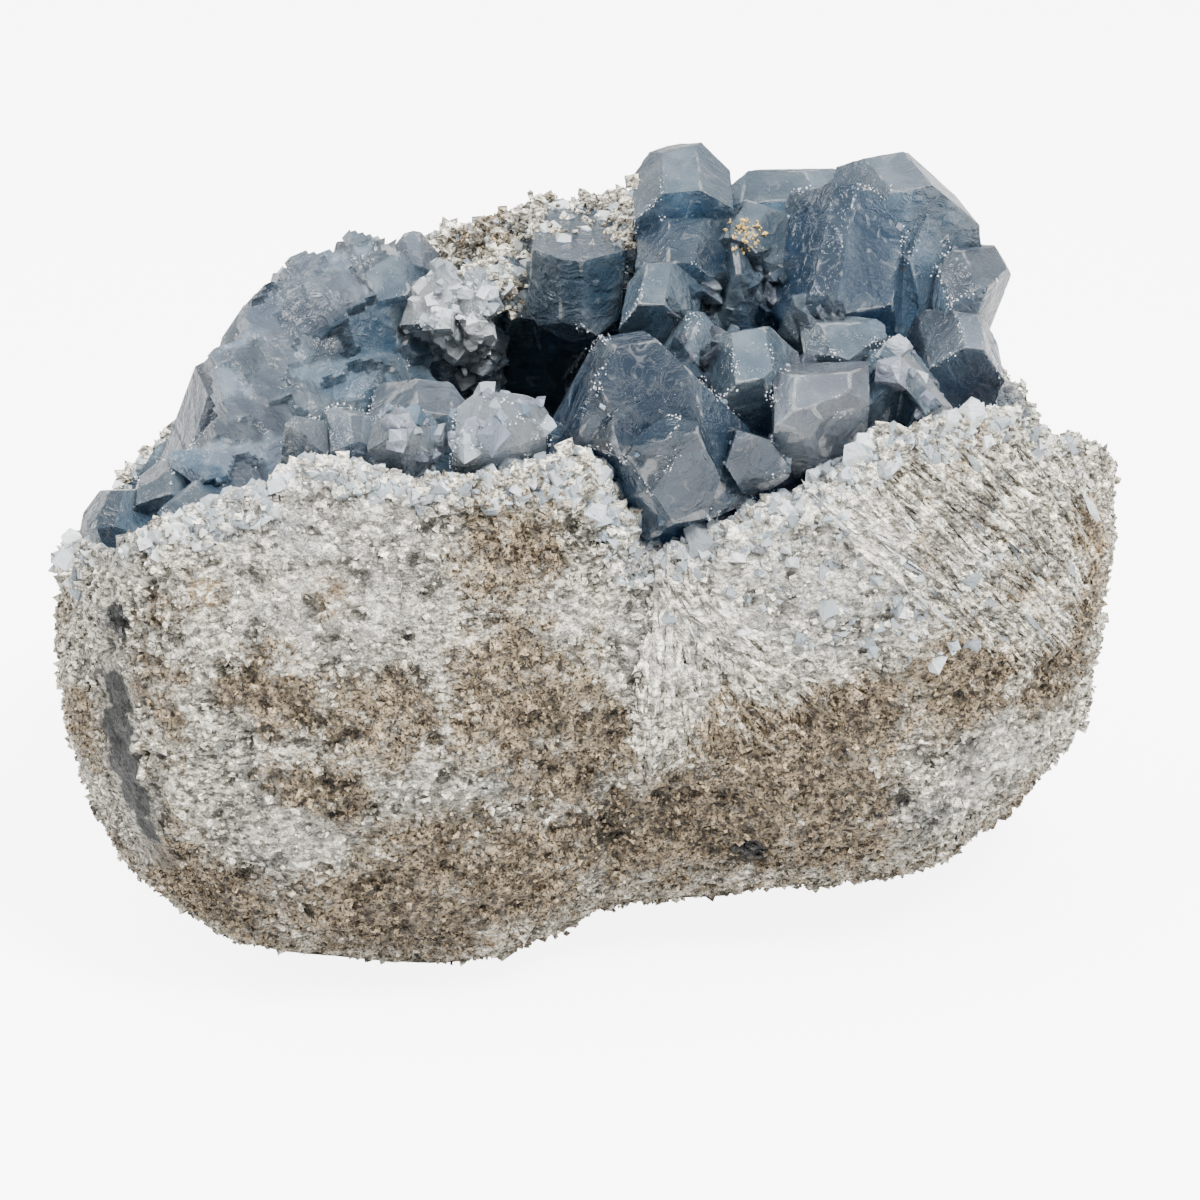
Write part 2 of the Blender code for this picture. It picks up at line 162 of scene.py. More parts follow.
class Graph:
    """A node tree being built, with short names for the steps that are used often."""

    def __init__(self, tree):
        self.tree = tree

    def add(self, kind, values=None, **settings):
        """A new node with its settings, and with values or links at its inputs."""
        made = self.tree.nodes.new(kind)
        for key, value in settings.items():
            setattr(made, key, value)
        for name, value in (values or {}).items():
            self.feed(made.inputs[name], value)
        return made

    def feed(self, socket, value):
        """Link another socket into this one, or set it to a plain value."""
        if isinstance(value, bpy.types.NodeSocket):
            self.tree.links.new(value, socket)
        else:
            socket.default_value = value

    def maths(self, operation, *values):
        """One step of arithmetic on two or three values."""
        made = self.add("ShaderNodeMath", operation=operation)
        for socket, value in zip(made.inputs, values):
            self.feed(socket, value)
        return made.outputs[0]

    def times(self, first, second):
        """One value times another."""
        return self.maths("MULTIPLY", first, second)

    def plus(self, first, second):
        """The sum of two values."""
        return self.maths("ADD", first, second)

    def less(self, first, second):
        """The first value less the second."""
        return self.maths("SUBTRACT", first, second)

    def stretch(self, value, factor, shift):
        """A value times a factor, and then a shift."""
        return self.maths("MULTIPLY_ADD", value, factor, shift)

    def between(self, value, low, high, start=0.0, end=1.0):
        """Smooth step of a value from start at low to end at high."""
        values = {"Value": value, "From Min": low, "From Max": high, "To Min": start, "To Max": end}
        return self.add("ShaderNodeMapRange", values, interpolation_type="SMOOTHSTEP").outputs["Result"]

    def blend(self, share, first, second):
        """The first colour, with a share of the second laid over it."""
        made = self.add("ShaderNodeMix", data_type="RGBA")
        for socket, value in ((0, share), (6, first), (7, second)):
            self.feed(made.inputs[socket], value)
        return made.outputs[2]

    def scale(self, vector, factor):
        """A place or a colour times a number."""
        made = self.add("ShaderNodeVectorMath", {"Scale": factor}, operation="SCALE")
        self.feed(made.inputs[0], vector)
        return made.outputs[0]

    def noise(self, place, scale, detail, rough, distortion=0.0):
        """Soft clouds, 0 to 1."""
        values = {"Vector": place, "Scale": scale, "Detail": detail, "Roughness": rough, "Distortion": distortion}
        return self.add("ShaderNodeTexNoise", values).outputs["Fac"]

    def cells(self, place, scale, channel):
        """Small cells: the distance from the middle of each, and a random tone for each."""
        made = self.add("ShaderNodeTexVoronoi", {"Vector": place, "Scale": scale, "Randomness": 1.0})
        split = self.add("ShaderNodeSeparateColor", {"Color": made.outputs["Color"]})
        return made.outputs["Distance"], split.outputs[channel]

    def stored(self, *names):
        """Values stored on the mesh, named as the inputs of a group."""
        found = {}
        for name in names:
            node = self.add("ShaderNodeAttribute", attribute_name=name)
            found[name.capitalize()] = node.outputs["Fac"]
        return found

    def per_island(self):
        """A random value for each loose grain or small crystal."""
        return self.add("ShaderNodeNewGeometry").outputs["Random Per Island"]


def surface_group(name, values):
    """A node group that makes colour, roughness and fine height from a place and some values.

    Gives back its graph, with a socket for the place and one for each value.
    """
    tree = bpy.data.node_groups.new(name, "ShaderNodeTree")
    tree.interface.new_socket("Place", in_out="INPUT", socket_type="NodeSocketVector")
    for value_name, value in values.items():
        socket = tree.interface.new_socket(value_name, in_out="INPUT", socket_type="NodeSocketFloat")
        socket.default_value = value
    for made, kind in (("Colour", "Color"), ("Roughness", "Float"), ("Height", "Float")):
        tree.interface.new_socket(made, in_out="OUTPUT", socket_type="NodeSocket" + kind)
    graph = Graph(tree)
    start = graph.add("NodeGroupInput")
    return graph, [start.outputs[socket] for socket in ("Place", *values)]


def close_group(graph, colour, roughness, height):
    """Put out what a surface group has made, and give back its tree."""
    graph.add("NodeGroupOutput", {"Colour": colour, "Roughness": roughness, "Height": height})
    return graph.tree


def new_material(name, values):
    """A material with one Principled BSDF; gives back the material, its graph and the shader."""
    material = bpy.data.materials.new(name)
    material.use_nodes = True
    shader = material.node_tree.nodes["Principled BSDF"]
    for socket, value in values.items():
        shader.inputs[socket].default_value = value
    return material, Graph(material.node_tree), shader


def lay_surface(graph, shader, tree, values, strength, distance_metres):
    """Place a surface group in a material: its colour, roughness and height go to the shader."""
    coordinates = graph.add("ShaderNodeTexCoord").outputs["Object"]
    made = graph.add("ShaderNodeGroup", node_tree=tree)
    for name, value in {"Place": graph.scale(coordinates, 1.0 / MM), **values}.items():
        graph.feed(made.inputs[name], value)
    bump_values = {"Strength": strength, "Distance": distance_metres, "Height": made.outputs["Height"]}
    bump = graph.add("ShaderNodeBump", bump_values)
    graph.feed(shader.inputs["Base Color"], made.outputs["Colour"])
    graph.feed(shader.inputs["Roughness"], made.outputs["Roughness"])
    graph.feed(shader.inputs["Normal"], bump.outputs["Normal"])


# Stains of the rind: centre, radius across and strength.
TAN_STAINS = (
    ((-9, -34, 62), 9.0, 0.9),
    ((-34, -37, 48), 9.0, 0.9),
    ((-23, -38, 44), 10.0, 0.9),
    ((-7, -36, 46), 13.0, 1.0),
    ((-2, -34, 36), 10.0, 1.0),
    ((-30, -38, 33), 7.0, 1.0),
    ((-59, -23, 34), 7.0, 0.8),
    ((-49, -33, 45), 6.0, 0.7),
    ((-18, -37, 25), 10.0, 0.9),
    ((-7, -33, 20), 10.0, 1.0),
    ((-24, -34, 16), 12.0, 0.9),
    ((-45, -31, 17), 9.0, 0.9),
    ((1, -30, 23), 8.0, 0.9),
    ((-48, -33, 54), 3.0, 0.6),
    ((59, -14, 55), 6.0, 0.9),
    ((58, -15, 46), 7.0, 1.0),
    ((55, -19, 39), 9.0, 1.0),
    ((44, -26, 41), 9.0, 1.0),
    ((30, -28, 37), 11.0, 1.0),
    ((21, -28, 33), 11.0, 1.0),
    ((28, -28, 29), 11.0, 1.0),
    ((15, -27, 24), 12.0, 1.0),
    ((6, -28, 22), 9.0, 1.0),
    ((30, -24, 20), 9.0, 0.8),
    ((38, -27, 58), 6.0, 0.55),
    ((34, -27, 62), 4.0, 0.5),
    ((13, -29, 55), 5.0, 0.35),
    ((34, 35, 50), 9.0, 0.9),
    ((24, 38, 42), 10.0, 0.8),
    ((40, 31, 36), 9.0, 0.9),
    ((16, 40, 56), 6.0, 0.7),
    ((22, 34, 18), 9.0, 0.9),
    ((2, 38, 22), 8.0, 0.8),
    ((-20, 39, 24), 9.0, 0.9),
    ((-30, 38, 34), 10.0, 0.9),
    ((-44, 33, 28), 9.0, 0.8),
    ((-36, 36, 48), 6.0, 0.7),
    ((-62, 4, 36), 12.0, 0.7),
    ((62, 8, 30), 12.0, 0.8),
    ((-12, 28, 78), 7.0, 0.6),
)
WHITE_FIELDS = (
    ((-30, -36, 62), 16.0, 1.0),
    ((25, -28, 58), 16.0, 1.0),
    ((9, -30, 49), 9.0, 1.0),
    ((49, -21, 28), 10.0, 1.0),
    ((-3, -34, 53), 5.0, 0.6),
    ((-33, -37, 28), 6.0, 0.7),
    ((-19, -38, 33), 5.0, 0.6),
    ((0, 40, 60), 20.0, 0.8),
    ((46, 28, 60), 16.0, 0.8),
)
GREY_FIELDS = (
    ((46, -23, 65), 4.0, 0.8),
    ((47, -24, 56), 5.0, 0.6),
    ((39, -23, 21), 7.0, 0.8),
    ((-54, -27, 60), 6.0, 0.7),
    ((-36, -37, 35), 5.0, 0.7),
    ((-9, -36, 34), 4.0, 0.8),
    ((-22, -38, 48), 4.0, 0.6),
    ((-1, -32, 27), 4.0, 0.9),
    ((-36, -34, 66), 7.0, 0.6),
    ((-14, -33, 15), 6.0, 0.6),
    ((-39, -35, 23), 5.0, 0.6),
    ((6, -29, 59), 5.0, 0.6),
    ((-55, -20, 16), 6.0, 0.6),
    ((30, 40, 20), 12.0, 0.6),
)
OCHRE_STAINS = (
    ((-43.3, -34.4, 57.4), 3.6, 1.0),
    ((-28.9, -36.7, 57.9), 3.6, 1.0),
    ((-36.0, -35.5, 60.0), 2.6, 0.4),
)
# Dark spots: along the dark inclusion at the left end, and painted shade in the pit on the left end and the hole
# under the right lobe.
DARK_STAINS_AND_HOLE_SHADE = (
    ((-54.4, -28.4, 41.5), 3.2, 1.0),
    ((-54.0, -28.7, 37.0), 3.8, 1.0),
    ((-53.2, -29.0, 32.5), 3.8, 1.0),
    ((-52.4, -29.2, 28.0), 3.4, 1.0),
    ((-51.6, -29.3, 23.5), 2.8, 0.9),
    ((-53.9, -29.0, 50.9), 2.8, 1.0),
    ((19.7, -23.6, 17.4), 2.6, 0.9),
    ((46.9, -23.1, 31.0), 3.0, 0.4),
)
STAINS = {
    "tan": TAN_STAINS,
    "white": WHITE_FIELDS,
    "grey": GREY_FIELDS,
    "ochre": OCHRE_STAINS,
    "dark": DARK_STAINS_AND_HOLE_SHADE,
}

# Colours of the rind: what each field of it runs between, and its spots.
# The sugar's dark end is darker grain and painted shadow between the grains.
SUGAR_DARK_AND_SHADOW, SUGAR_LIGHT = (0.15, 0.14, 0.12, 1), (0.86, 0.81, 0.68, 1)
GREY_SHADE, GREY_LIGHT = (0.065, 0.07, 0.072, 1), (0.42, 0.43, 0.42, 1)
TAN_SHADE, TAN_LIGHT = (0.045, 0.03, 0.018, 1), (0.40, 0.305, 0.19, 1)
WHITE_CRUST = (0.92, 0.90, 0.83, 1)
OCHRE_SPOT = (0.20, 0.125, 0.05, 1)
# The dark spots' colour, which is painted shade where it lies in the pit and the hole.
DARK_SPOT_AND_HOLE_SHADE = (0.035, 0.04, 0.045, 1)
CLEAR_RIM = (0.24, 0.27, 0.295, 1)
# The side towards the hollow: blue-grey lining under the crystals, darkened as painted shade of the shut-in hollow.
HOLLOW_LINING_AND_SHADE = (0.05, 0.07, 0.095, 1)
# Painted shade in the small pits and between grains, and the colour of dark flecks.
PIT_SHADE_AND_SPECK = (0.018, 0.015, 0.012, 1)
STONE_GLOSS = 0.4
STONE_BUMP, STONE_BUMP_METRES = 1.0, 0.0012

# Colours of a celestite face, from the darkest kind at 0 to the palest at 1.
CRYSTAL_TINTS = (
    (0.0, (0.03, 0.075, 0.14, 1)),
    (0.3, (0.085, 0.155, 0.235, 1)),
    (0.5, (0.19, 0.28, 0.37, 1)),
    (0.68, (0.25, 0.26, 0.33, 1)),
    (0.85, (0.44, 0.50, 0.54, 1)),
    (1.0, (0.88, 0.90, 0.90, 1)),
)
VEIL_TINT = (0.55, 0.66, 0.74, 1)
STREAK_TINT = (0.75, 0.8, 0.84, 1)
# Painted light where a crystal is thin at an edge.
THIN_EDGE_PAINTED_LIGHT = (0.42, 0.53, 0.61, 1)
# Chalk along a crystal's edges, which is also a painted glint there.
CHALK_AND_GLINT_TINT = (0.95, 0.96, 0.97, 1)
CRYSTAL_IOR = 1.62
CRYSTAL_GLOSS = 0.3
CRYSTAL_BUMP, CRYSTAL_BUMP_METRES = 0.7, 0.0008


def stain_at(points, spots):
    """The strongest of several soft round stains at many points, 0 to 1."""
    strongest = np.zeros(len(points))
    for centre, radius, strength in spots:
        away = np.linalg.norm(points - np.array(centre), axis=1)
        share = np.clip((radius * 1.25 - away) / (radius * 0.9), 0.0, 1.0)
        strongest = np.maximum(strongest, strength * share * share * (3.0 - 2.0 * share))
    return strongest


def add_stains(mesh, points):
    """Store on a piece of the rind how strongly each kind of stain marks it."""
    for name, spots in STAINS.items():
        add_values(mesh, name, stain_at(points, spots))


def stone_group():
    """Colour, roughness and fine height of the sugary rind, shared by the stone and its loose grains."""
    values = {"Relief": 0.5, "Grain": 0.5, "Rim": 0.0, "Inside": 0.0}
    values.update((stain.capitalize(), 0.0) for stain in STAINS)
    graph, sockets = surface_group("sugary stone", values)
    place, relief, grain, rim, inside, tan_here, white_here, grey_here, ochre_here, dark_and_hole_shade_here = sockets

    broad = graph.noise(place, 0.10, 2.0, 0.6)
    patchy = graph.noise(place, 0.30, 3.0, 0.68)
    crumbs = graph.noise(place, 0.95, 2.0, 0.72)
    fine = graph.noise(place, 2.6, 1.0, 0.7)
    leaning = {"Vector": place, "Rotation": (0.2, 0.7, 0.2), "Scale": (0.75, 1.3, 1.5)}
    streak = graph.noise(graph.add("ShaderNodeMapping", leaning).outputs["Vector"], 1.0, 2.0, 0.75)
    sugar_away, sugar_tone = graph.cells(place, 0.9, "Red")
    hole_away, hole_tone = graph.cells(place, 0.62, "Green")
    rugged = graph.plus(graph.stretch(patchy, 2.4, -1.2), graph.stretch(crumbs, 1.4, -0.7))

    # The clean stone: bright sugar with streaks, whose dark side is darker grain and painted shadow between the
    # grains, and its grey fields.
    bright = graph.blend(graph.between(streak, 0.40, 0.60), SUGAR_DARK_AND_SHADOW, SUGAR_LIGHT)
    bright = graph.blend(graph.times(white_here, 0.3), bright, WHITE_CRUST)
    grey = graph.blend(graph.between(crumbs, 0.35, 0.65), GREY_SHADE, GREY_LIGHT)
    grey_mask = graph.plus(graph.plus(grey_here, rugged), graph.between(broad, 0.55, 0.7, 0.0, 0.5))
    pale = graph.blend(graph.between(grey_mask, 0.3, 0.9, 0.0, 0.85), bright, grey)

    # Tan stains, with more tan towards the bottom, kept off the white fields.
    height_up = graph.add("ShaderNodeSeparateXYZ", {"Vector": place}).outputs["Z"]
    tan_amount = graph.plus(tan_here, graph.times(graph.between(height_up, 30.0, 8.0), 0.45))
    tan_amount = graph.plus(tan_amount, graph.between(broad, 0.46, 0.34, 0.0, 0.4))
    tan_amount = graph.less(tan_amount, graph.times(white_here, 0.75))
    tan_mask = graph.between(graph.plus(tan_amount, rugged), 0.1, 1.0, 0.0, 0.94)
    tan = graph.blend(graph.between(crumbs, 0.34, 0.66), TAN_SHADE, TAN_LIGHT)
    colour = graph.blend(tan_mask, pale, tan)

    # Ochre spots, dark spots that are partly painted shade in the pit and the hole, the glassy rim, and the side
    # towards the hollow, darkened also as painted shade.
    ochre_mask = graph.times(ochre_here, graph.between(crumbs, 0.35, 0.6))
    colour = graph.blend(graph.times(ochre_mask, 0.85), colour, OCHRE_SPOT)
    dark_and_hole_shade_mask = graph.plus(dark_and_hole_shade_here, graph.stretch(crumbs, 0.8, -0.4))
    colour = graph.blend(graph.between(dark_and_hole_shade_mask, 0.35, 0.6, 0.0, 0.9), colour, DARK_SPOT_AND_HOLE_SHADE)
    clear_mask = graph.times(graph.between(rim, 0.1, 0.8), graph.between(patchy, 0.35, 0.6, 0.35, 1.0))
    colour = graph.blend(graph.times(clear_mask, 0.6), colour, CLEAR_RIM)
    colour = graph.blend(inside, colour, HOLLOW_LINING_AND_SHADE)

    # Pinholes painted dark as their shade, and fine dark flecks that are partly dark grains and partly painted shade
    # between grains, mostly in the tan.
    pit_shade = graph.times(graph.between(hole_away, 0.26, 0.12), graph.between(hole_tone, 0.45, 0.6))
    flecks_and_pit_shade = graph.maths("MAXIMUM", graph.between(fine, 0.55, 0.62), pit_shade)
    colour = graph.blend(graph.times(flecks_and_pit_shade, graph.stretch(tan_mask, 0.6, 0.35)), colour, PIT_SHADE_AND_SPECK)

    # Each grain's own tone, painted shade in the low places and a little painted light on the raised ones.
    tone = graph.times(graph.stretch(grain, 1.0, 0.5), graph.stretch(sugar_tone, 0.7, 0.68))
    tone = graph.times(tone, graph.between(relief, 0.1, 0.6, 0.25, 1.1))
    height = graph.plus(graph.times(crumbs, 0.9), graph.times(fine, 0.5))
    height = graph.less(height, graph.times(sugar_away, 0.45))
    roughness = graph.between(patchy, 0.3, 0.7, 0.75, 0.5)
    return close_group(graph, graph.scale(colour, tone), roughness, height)


def stone_material(name, tree, per_grain):
    """The rind's material; per_grain gives each loose grain its own shade."""
    material, graph, shader = new_material(name, {"Specular IOR Level": STONE_GLOSS})
    if per_grain:
        # Loose grains count as raised, so they take the little painted light of raised places.
        values = {"Relief": 0.6, "Grain": graph.per_island()}
    else:
        values = graph.stored("relief", "rim", "inside")
    lay_surface(graph, shader, tree, {**values, **graph.stored(*STAINS)}, STONE_BUMP, STONE_BUMP_METRES)
    return material


def crystal_group():
    """Tint, roughness and fine height of a celestite face."""
    values = {"Kind": 0.5, "Face": 0.5, "Polish": 0.12, "Ridge": 1.0, "Crease": 1.0}
    graph, (place, kind, face, polish, ridge, crease) = surface_group("celestite face", values)
    veil = graph.noise(place, 0.13, 2.0, 0.6, 0.8)
    wisp = graph.noise(place, 0.42, 3.0, 0.62, 1.6)
    dust = graph.noise(place, 1.6, 2.0, 0.65)
    worn = graph.noise(place, 0.28, 1.0, 0.5)
    stops = graph.add("ShaderNodeValToRGB", {"Fac": kind})
    tints = stops.color_ramp.elements
    tints[0].color, tints[1].color = CRYSTAL_TINTS[0][1], CRYSTAL_TINTS[-1][1]
    for position, colour in CRYSTAL_TINTS[1:-1]:
        tints.new(position).color = colour
    tint = stops.outputs["Color"]

    # Cloudy veils and thin white streaks inside the crystal.
    pale_kind = graph.between(kind, 0.0, 0.4, 0.1, 1.0)
    cloudy = graph.times(graph.between(veil, 0.44, 0.70), pale_kind)
    colour = graph.blend(cloudy, tint, graph.blend(0.5, tint, VEIL_TINT))
    streaks = graph.times(graph.between(wisp, 0.57, 0.70), 0.45)
    colour = graph.blend(streaks, colour, STREAK_TINT)

    # Paler where it is thin at an edge, as painted light shining through it, painted shade in the creases, and each
    # face its own tone.
    thin = graph.times(graph.between(ridge, 0.85, 0.0), graph.between(veil, 0.3, 0.6, 0.25, 0.8))
    thin = graph.times(thin, graph.stretch(pale_kind, 0.35, 0.2))
    colour = graph.blend(thin, colour, THIN_EDGE_PAINTED_LIGHT)
    tone = graph.times(graph.stretch(face, 0.6, 0.65), graph.between(crease, 0.0, 0.8, 0.8, 1.0))

    # Chalky wear along stretches of the edges, laid on also as painted glints along them.
    edge = graph.less(graph.between(ridge, 0.14, 0.03), graph.between(worn, 0.68, 0.50, 0.0, 0.95))
    chalk_and_glint = graph.times(graph.between(edge, 0.05, 0.6), graph.between(dust, 0.3, 0.55, 0.45, 1.0))
    colour = graph.blend(graph.times(chalk_and_glint, 0.6), graph.scale(colour, tone), CHALK_AND_GLINT_TINT)

    frost = graph.times(graph.between(dust, 0.55, 0.75), 0.08)
    rough = graph.plus(polish, graph.plus(frost, graph.times(cloudy, 0.12)))
    rough = graph.plus(rough, graph.times(chalk_and_glint, 0.3))
    return close_group(graph, colour, rough, graph.stretch(veil, 1.6, wisp))


def celestite_material(name, tree, polish, transmission, soak=None, kind=None, spread=0.4):
    """Clear to cloudy blue crystal, see-through by plain transmission, IOR and absorption.

    Soak is the colour and density of its depth. Where a kind is given, each small crystal is of
    that kind or up to a spread paler; otherwise the kinds stored on the mesh are used.
    """
    given = {"IOR": CRYSTAL_IOR, "Specular IOR Level": CRYSTAL_GLOSS, "Transmission Weight": transmission}
    material, graph, shader = new_material(name, given)
    if kind is None:
        values = graph.stored("kind", "face", "ridge", "crease")
    else:
        own = graph.per_island()
        values = {"Kind": graph.stretch(own, spread, kind), "Face": own}
    lay_surface(graph, shader, tree, {"Polish": polish, **values}, CRYSTAL_BUMP, CRYSTAL_BUMP_METRES)
    if soak:
        absorb = graph.add("ShaderNodeVolumeAbsorption", dict(zip(("Color", "Density"), soak)))
        graph.feed(material.node_tree.nodes["Material Output"].inputs["Volume"], absorb.outputs["Volume"])
    return material


# Where the noise of crumbs and of pits is read, so that they don't follow the lumps, and where a pit begins.
CRUMB_SHIFT = Vector((3.1, 7.7, 1.9))
PIT_SHIFT = Vector((9.0, 2.0, 5.0))
PIT_START, PIT_EASE = 0.22, 0.4
SPOKE_RELIEF = 0.3
RIB_RELIEF = 0.55
INCLUSION_DEPTH = 0.9


def rind_relief(point, outward):
    """Height of the weathered stone over its smooth skin at a point."""
    height = LUMP_RELIEF * noise.noise(point / LUMP_SPACING)
    height += CRUMB_RELIEF * noise.noise(point / CRUMB_SPACING + CRUMB_SHIFT)
    height += SUGAR_RELIEF * (0.5 - noise.voronoi(point / SUGAR_SPACING)[0][0]) * 2.0
    pit = max(0.0, noise.noise(point / PIT_SPACING + PIT_SHIFT) - PIT_START) / PIT_EASE
    height -= PIT_DEPTH * min(1.0, pit)
    from_fan = point - FAN_CENTRE
    spread = from_fan.length
    if 0.1 < spread < FAN_REACH and from_fan.normalized().dot(FAN_WAY) > FAN_SPREAD:
        angle = math.atan2(from_fan.x, -from_fan.z)
        spoke = math.sin(angle * FAN_SPOKES + 6.0 * noise.noise(point / 5.0))
        height += SPOKE_RELIEF * spoke * (1.0 - spread / FAN_REACH) * min(1.0, spread / 6.0)
    away = to_segment(point, RIB_START, RIB_END)
    if away < RIB_REACH:
        side = (RIB_END - RIB_START).normalized()
        across = (point - RIB_START).dot(side.cross(outward))
        rib = math.sin(across * 2.0 * math.pi / RIB_SPACING + 2.0 * noise.noise(point / 6.0))
        height += RIB_RELIEF * rib * (1.0 - away / RIB_REACH)
    for _, line, width, depth in GROOVES:
        away = to_line(point, line) + 0.8 * noise.noise(point / 3.0)
        height -= depth * bell(away, width)
    for _, centre, width, depth in HOLES:
        height -= depth * bell((point - Vector(centre)).length, width)
    calm = bell(to_segment(point, INCLUSION_TOP, INCLUSION_FOOT), INCLUSION_WIDTH)
    return height * (1.0 - 0.8 * calm) - INCLUSION_DEPTH * calm - SKIN_ALLOWANCE


def closeness_to(tree, points, reach):
    """1 where a point touches the surface in the tree, easing to 0 at the reach away."""
    away = np.array([tree.find_nearest(Vector(point), reach)[3] or reach for point in points])
    return 1.0 - away / reach


def softened(piece):
    """The mesh of a solid, remeshed evenly and rounded off."""
    remesh = piece.modifiers.new("remesh", "REMESH")
    remesh.mode = "VOXEL"
    remesh.voxel_size = RIND_VOXEL * MM * quick_or(1.0)
    soften = piece.modifiers.new("soften", "SMOOTH")
    soften.factor = 0.5
    soften.iterations = RIND_SMOOTHING
    ready = bpy.context.evaluated_depsgraph_get()
    mesh = bpy.data.meshes.new_from_object(piece.evaluated_get(ready))
    piece.modifiers.clear()
    return mesh


def build_rind(material, crust_tree):
    """The stone: the solid's shape, rounded off, with grains, pits, ribs and cracks in its skin."""
    piece = new_object("weathered_rind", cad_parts["rind"].data.copy())
    piece.data = mesh = softened(piece)
    count = len(mesh.vertices)
    points, normals = np.empty(count * 3), np.empty(count * 3)
    mesh.vertices.foreach_get("co", points)
    mesh.vertex_normals.foreach_get("vector", normals)
    points, normals = points.reshape(-1, 3) / MM, normals.reshape(-1, 3)
    outward = points - np.array(HEART)
    outward /= np.linalg.norm(outward, axis=1)[:, None]
    facing = np.einsum("ij,ij->i", outward, normals)
    rim = closeness_to(crust_tree, points, RIM_ZONE)
    heights = np.zeros(count)
    for index in range(count):
        height = rind_relief(Vector(points[index]), Vector(normals[index]))
        if facing[index] < -0.2:
            # The side towards the hollow stays calm and never rises, so that the crystals fit.
            height = min(height, 0.0) * 0.3
        # The resting flat stays flat.
        heights[index] = height * min(1.0, max(0.0, (points[index][2] - 0.3) / 1.2))
    moved = keep_in_box(points + normals * heights[:, None])
    mesh.vertices.foreach_set("co", (moved * MM).ravel())
    # The relief is stored also for the material, which paints shade into its low places.
    add_values(mesh, "relief", np.clip(0.55 + heights * 0.24, 0.0, 1.0))
    add_values(mesh, "rim", rim)
    # How squarely each point faces the hollow; the material paints it there as dark lining and painted shade.
    add_values(mesh, "inside", np.clip(-facing * 2.0, 0.0, 1.0))
    add_stains(mesh, moved)
    mesh.shade_smooth()
    mesh.update()
    finish_piece(piece, material)
    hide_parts("rind")
    return (moved, normals), facing, rim


# Corners and faces of a loose grain: eight facets, knocked out of shape as it is placed.
GRAIN_CORNERS = np.array([[0, 0, -0.5], [0.5, 0, 0], [0, 0.5, 0], [-0.5, 0, 0], [0, -0.5, 0], [0, 0, 0.5]])
GRAIN_FACES = ((0, 2, 1), (0, 3, 2), (0, 4, 3), (0, 1, 4), (5, 1, 2), (5, 2, 3), (5, 3, 4), (5, 4, 1))

# Corners and faces of a small crystal: a block whose end is cut to a chisel edge.
POINTED_CORNERS = np.array(
    [[x, y, z] for z in (0.0, 0.68) for x, y in ((-0.5, -0.5), (0.5, -0.5), (0.5, 0.5), (-0.5, 0.5))]
    + [[-0.3, 0.0, 1.0], [0.3, 0.0, 1.0]]
)
POINTED_FACES = (
    (3, 2, 1, 0),
    (0, 1, 5, 4),
    (1, 2, 6, 5),
    (2, 3, 7, 6),
    (3, 0, 4, 7),
    (4, 5, 9, 8),
    (6, 7, 8, 9),
    (5, 6, 9),
    (7, 4, 8),
)

# How far grains, fibres and small crystals are stretched, knocked out of shape and leant over.
GRAIN_STRETCH, GRAIN_JITTER = 1.35, 0.14
FIBRE_STRETCH, FIBRE_JITTER = 1.3, 0.1
DRUSE_LEAN, DRUSE_JITTER = 0.35, 0.12


def turned_to(ways, chance):
    """Rotations, as matrices, that stand up along the stated ways with a random spin about them."""
    ways = ways / np.linalg.norm(ways, axis=1)[:, None]
    spin = chance.normal(size=ways.shape)
    across = np.cross(spin, ways)
    across /= np.linalg.norm(across, axis=1)[:, None]
    return np.stack((across, np.cross(ways, across), ways), axis=2)


def many(corners, faces, centres, sizes, turns, jitter, chance):
    """Points and faces of many copies of a small shape, each stretched, turned and knocked out of square."""
    count, size = len(centres), len(corners)
    placed = corners[None] * sizes[:, None, :]
    placed = placed + chance.uniform(-1, 1, (count, size, 3)) * jitter * sizes[:, None, :]
    placed = np.einsum("nij,nkj->nki", turns, placed) + centres[:, None, :]
    joined = [tuple(corner + index * size for corner in face) for index in range(count) for face in faces]
    return placed.reshape(-1, 3), joined


def picked(where, count, chance):
    """Some of the places where something holds, drawn at random."""
    return chance.choice(np.nonzero(where)[0], count)


def lay_grains(name, centres, sizes, turns, jitter, material, chance):
    """One piece of many loose grains or fibres, stained as the rind is where they lie."""
    corners, faces = many(GRAIN_CORNERS, GRAIN_FACES, centres, sizes, turns, jitter, chance)
    piece = make_piece(name, corners, faces, material)
    add_stains(piece.data, np.repeat(centres, len(GRAIN_CORNERS), axis=0))


def scatter_grains(name, skin, where, count, reach, sunk, material, chance, astray=0.5 * RIND_VOXEL):
    """Loose sugary grains of a reach of sizes, sunk in the skin at the places where they may lie."""
    points, normals = skin
    low, high = reach
    chosen = picked(where, count, chance)
    size = low + (high - low) * chance.random(count) ** 2.0
    sizes = size[:, None] * chance.uniform(0.6, 1.2, (count, 3))
    centres = points[chosen] + normals[chosen] * (size * chance.uniform(*sunk, count))[:, None]
    centres = centres + chance.uniform(-1, 1, (count, 3)) * astray
    turns = turned_to(chance.normal(size=(count, 3)), chance)
    lay_grains(name, centres, sizes * GRAIN_STRETCH, turns, GRAIN_JITTER, material, chance)


def distance_to_run(points, start, end):
    """Distance of many points from a straight stretch."""
    start = np.array(start)
    run = np.array(end) - start
    share = np.clip((points - start) @ run / (run @ run), 0.0, 1.0)
    return np.linalg.norm(points - start - share[:, None] * run, axis=1)


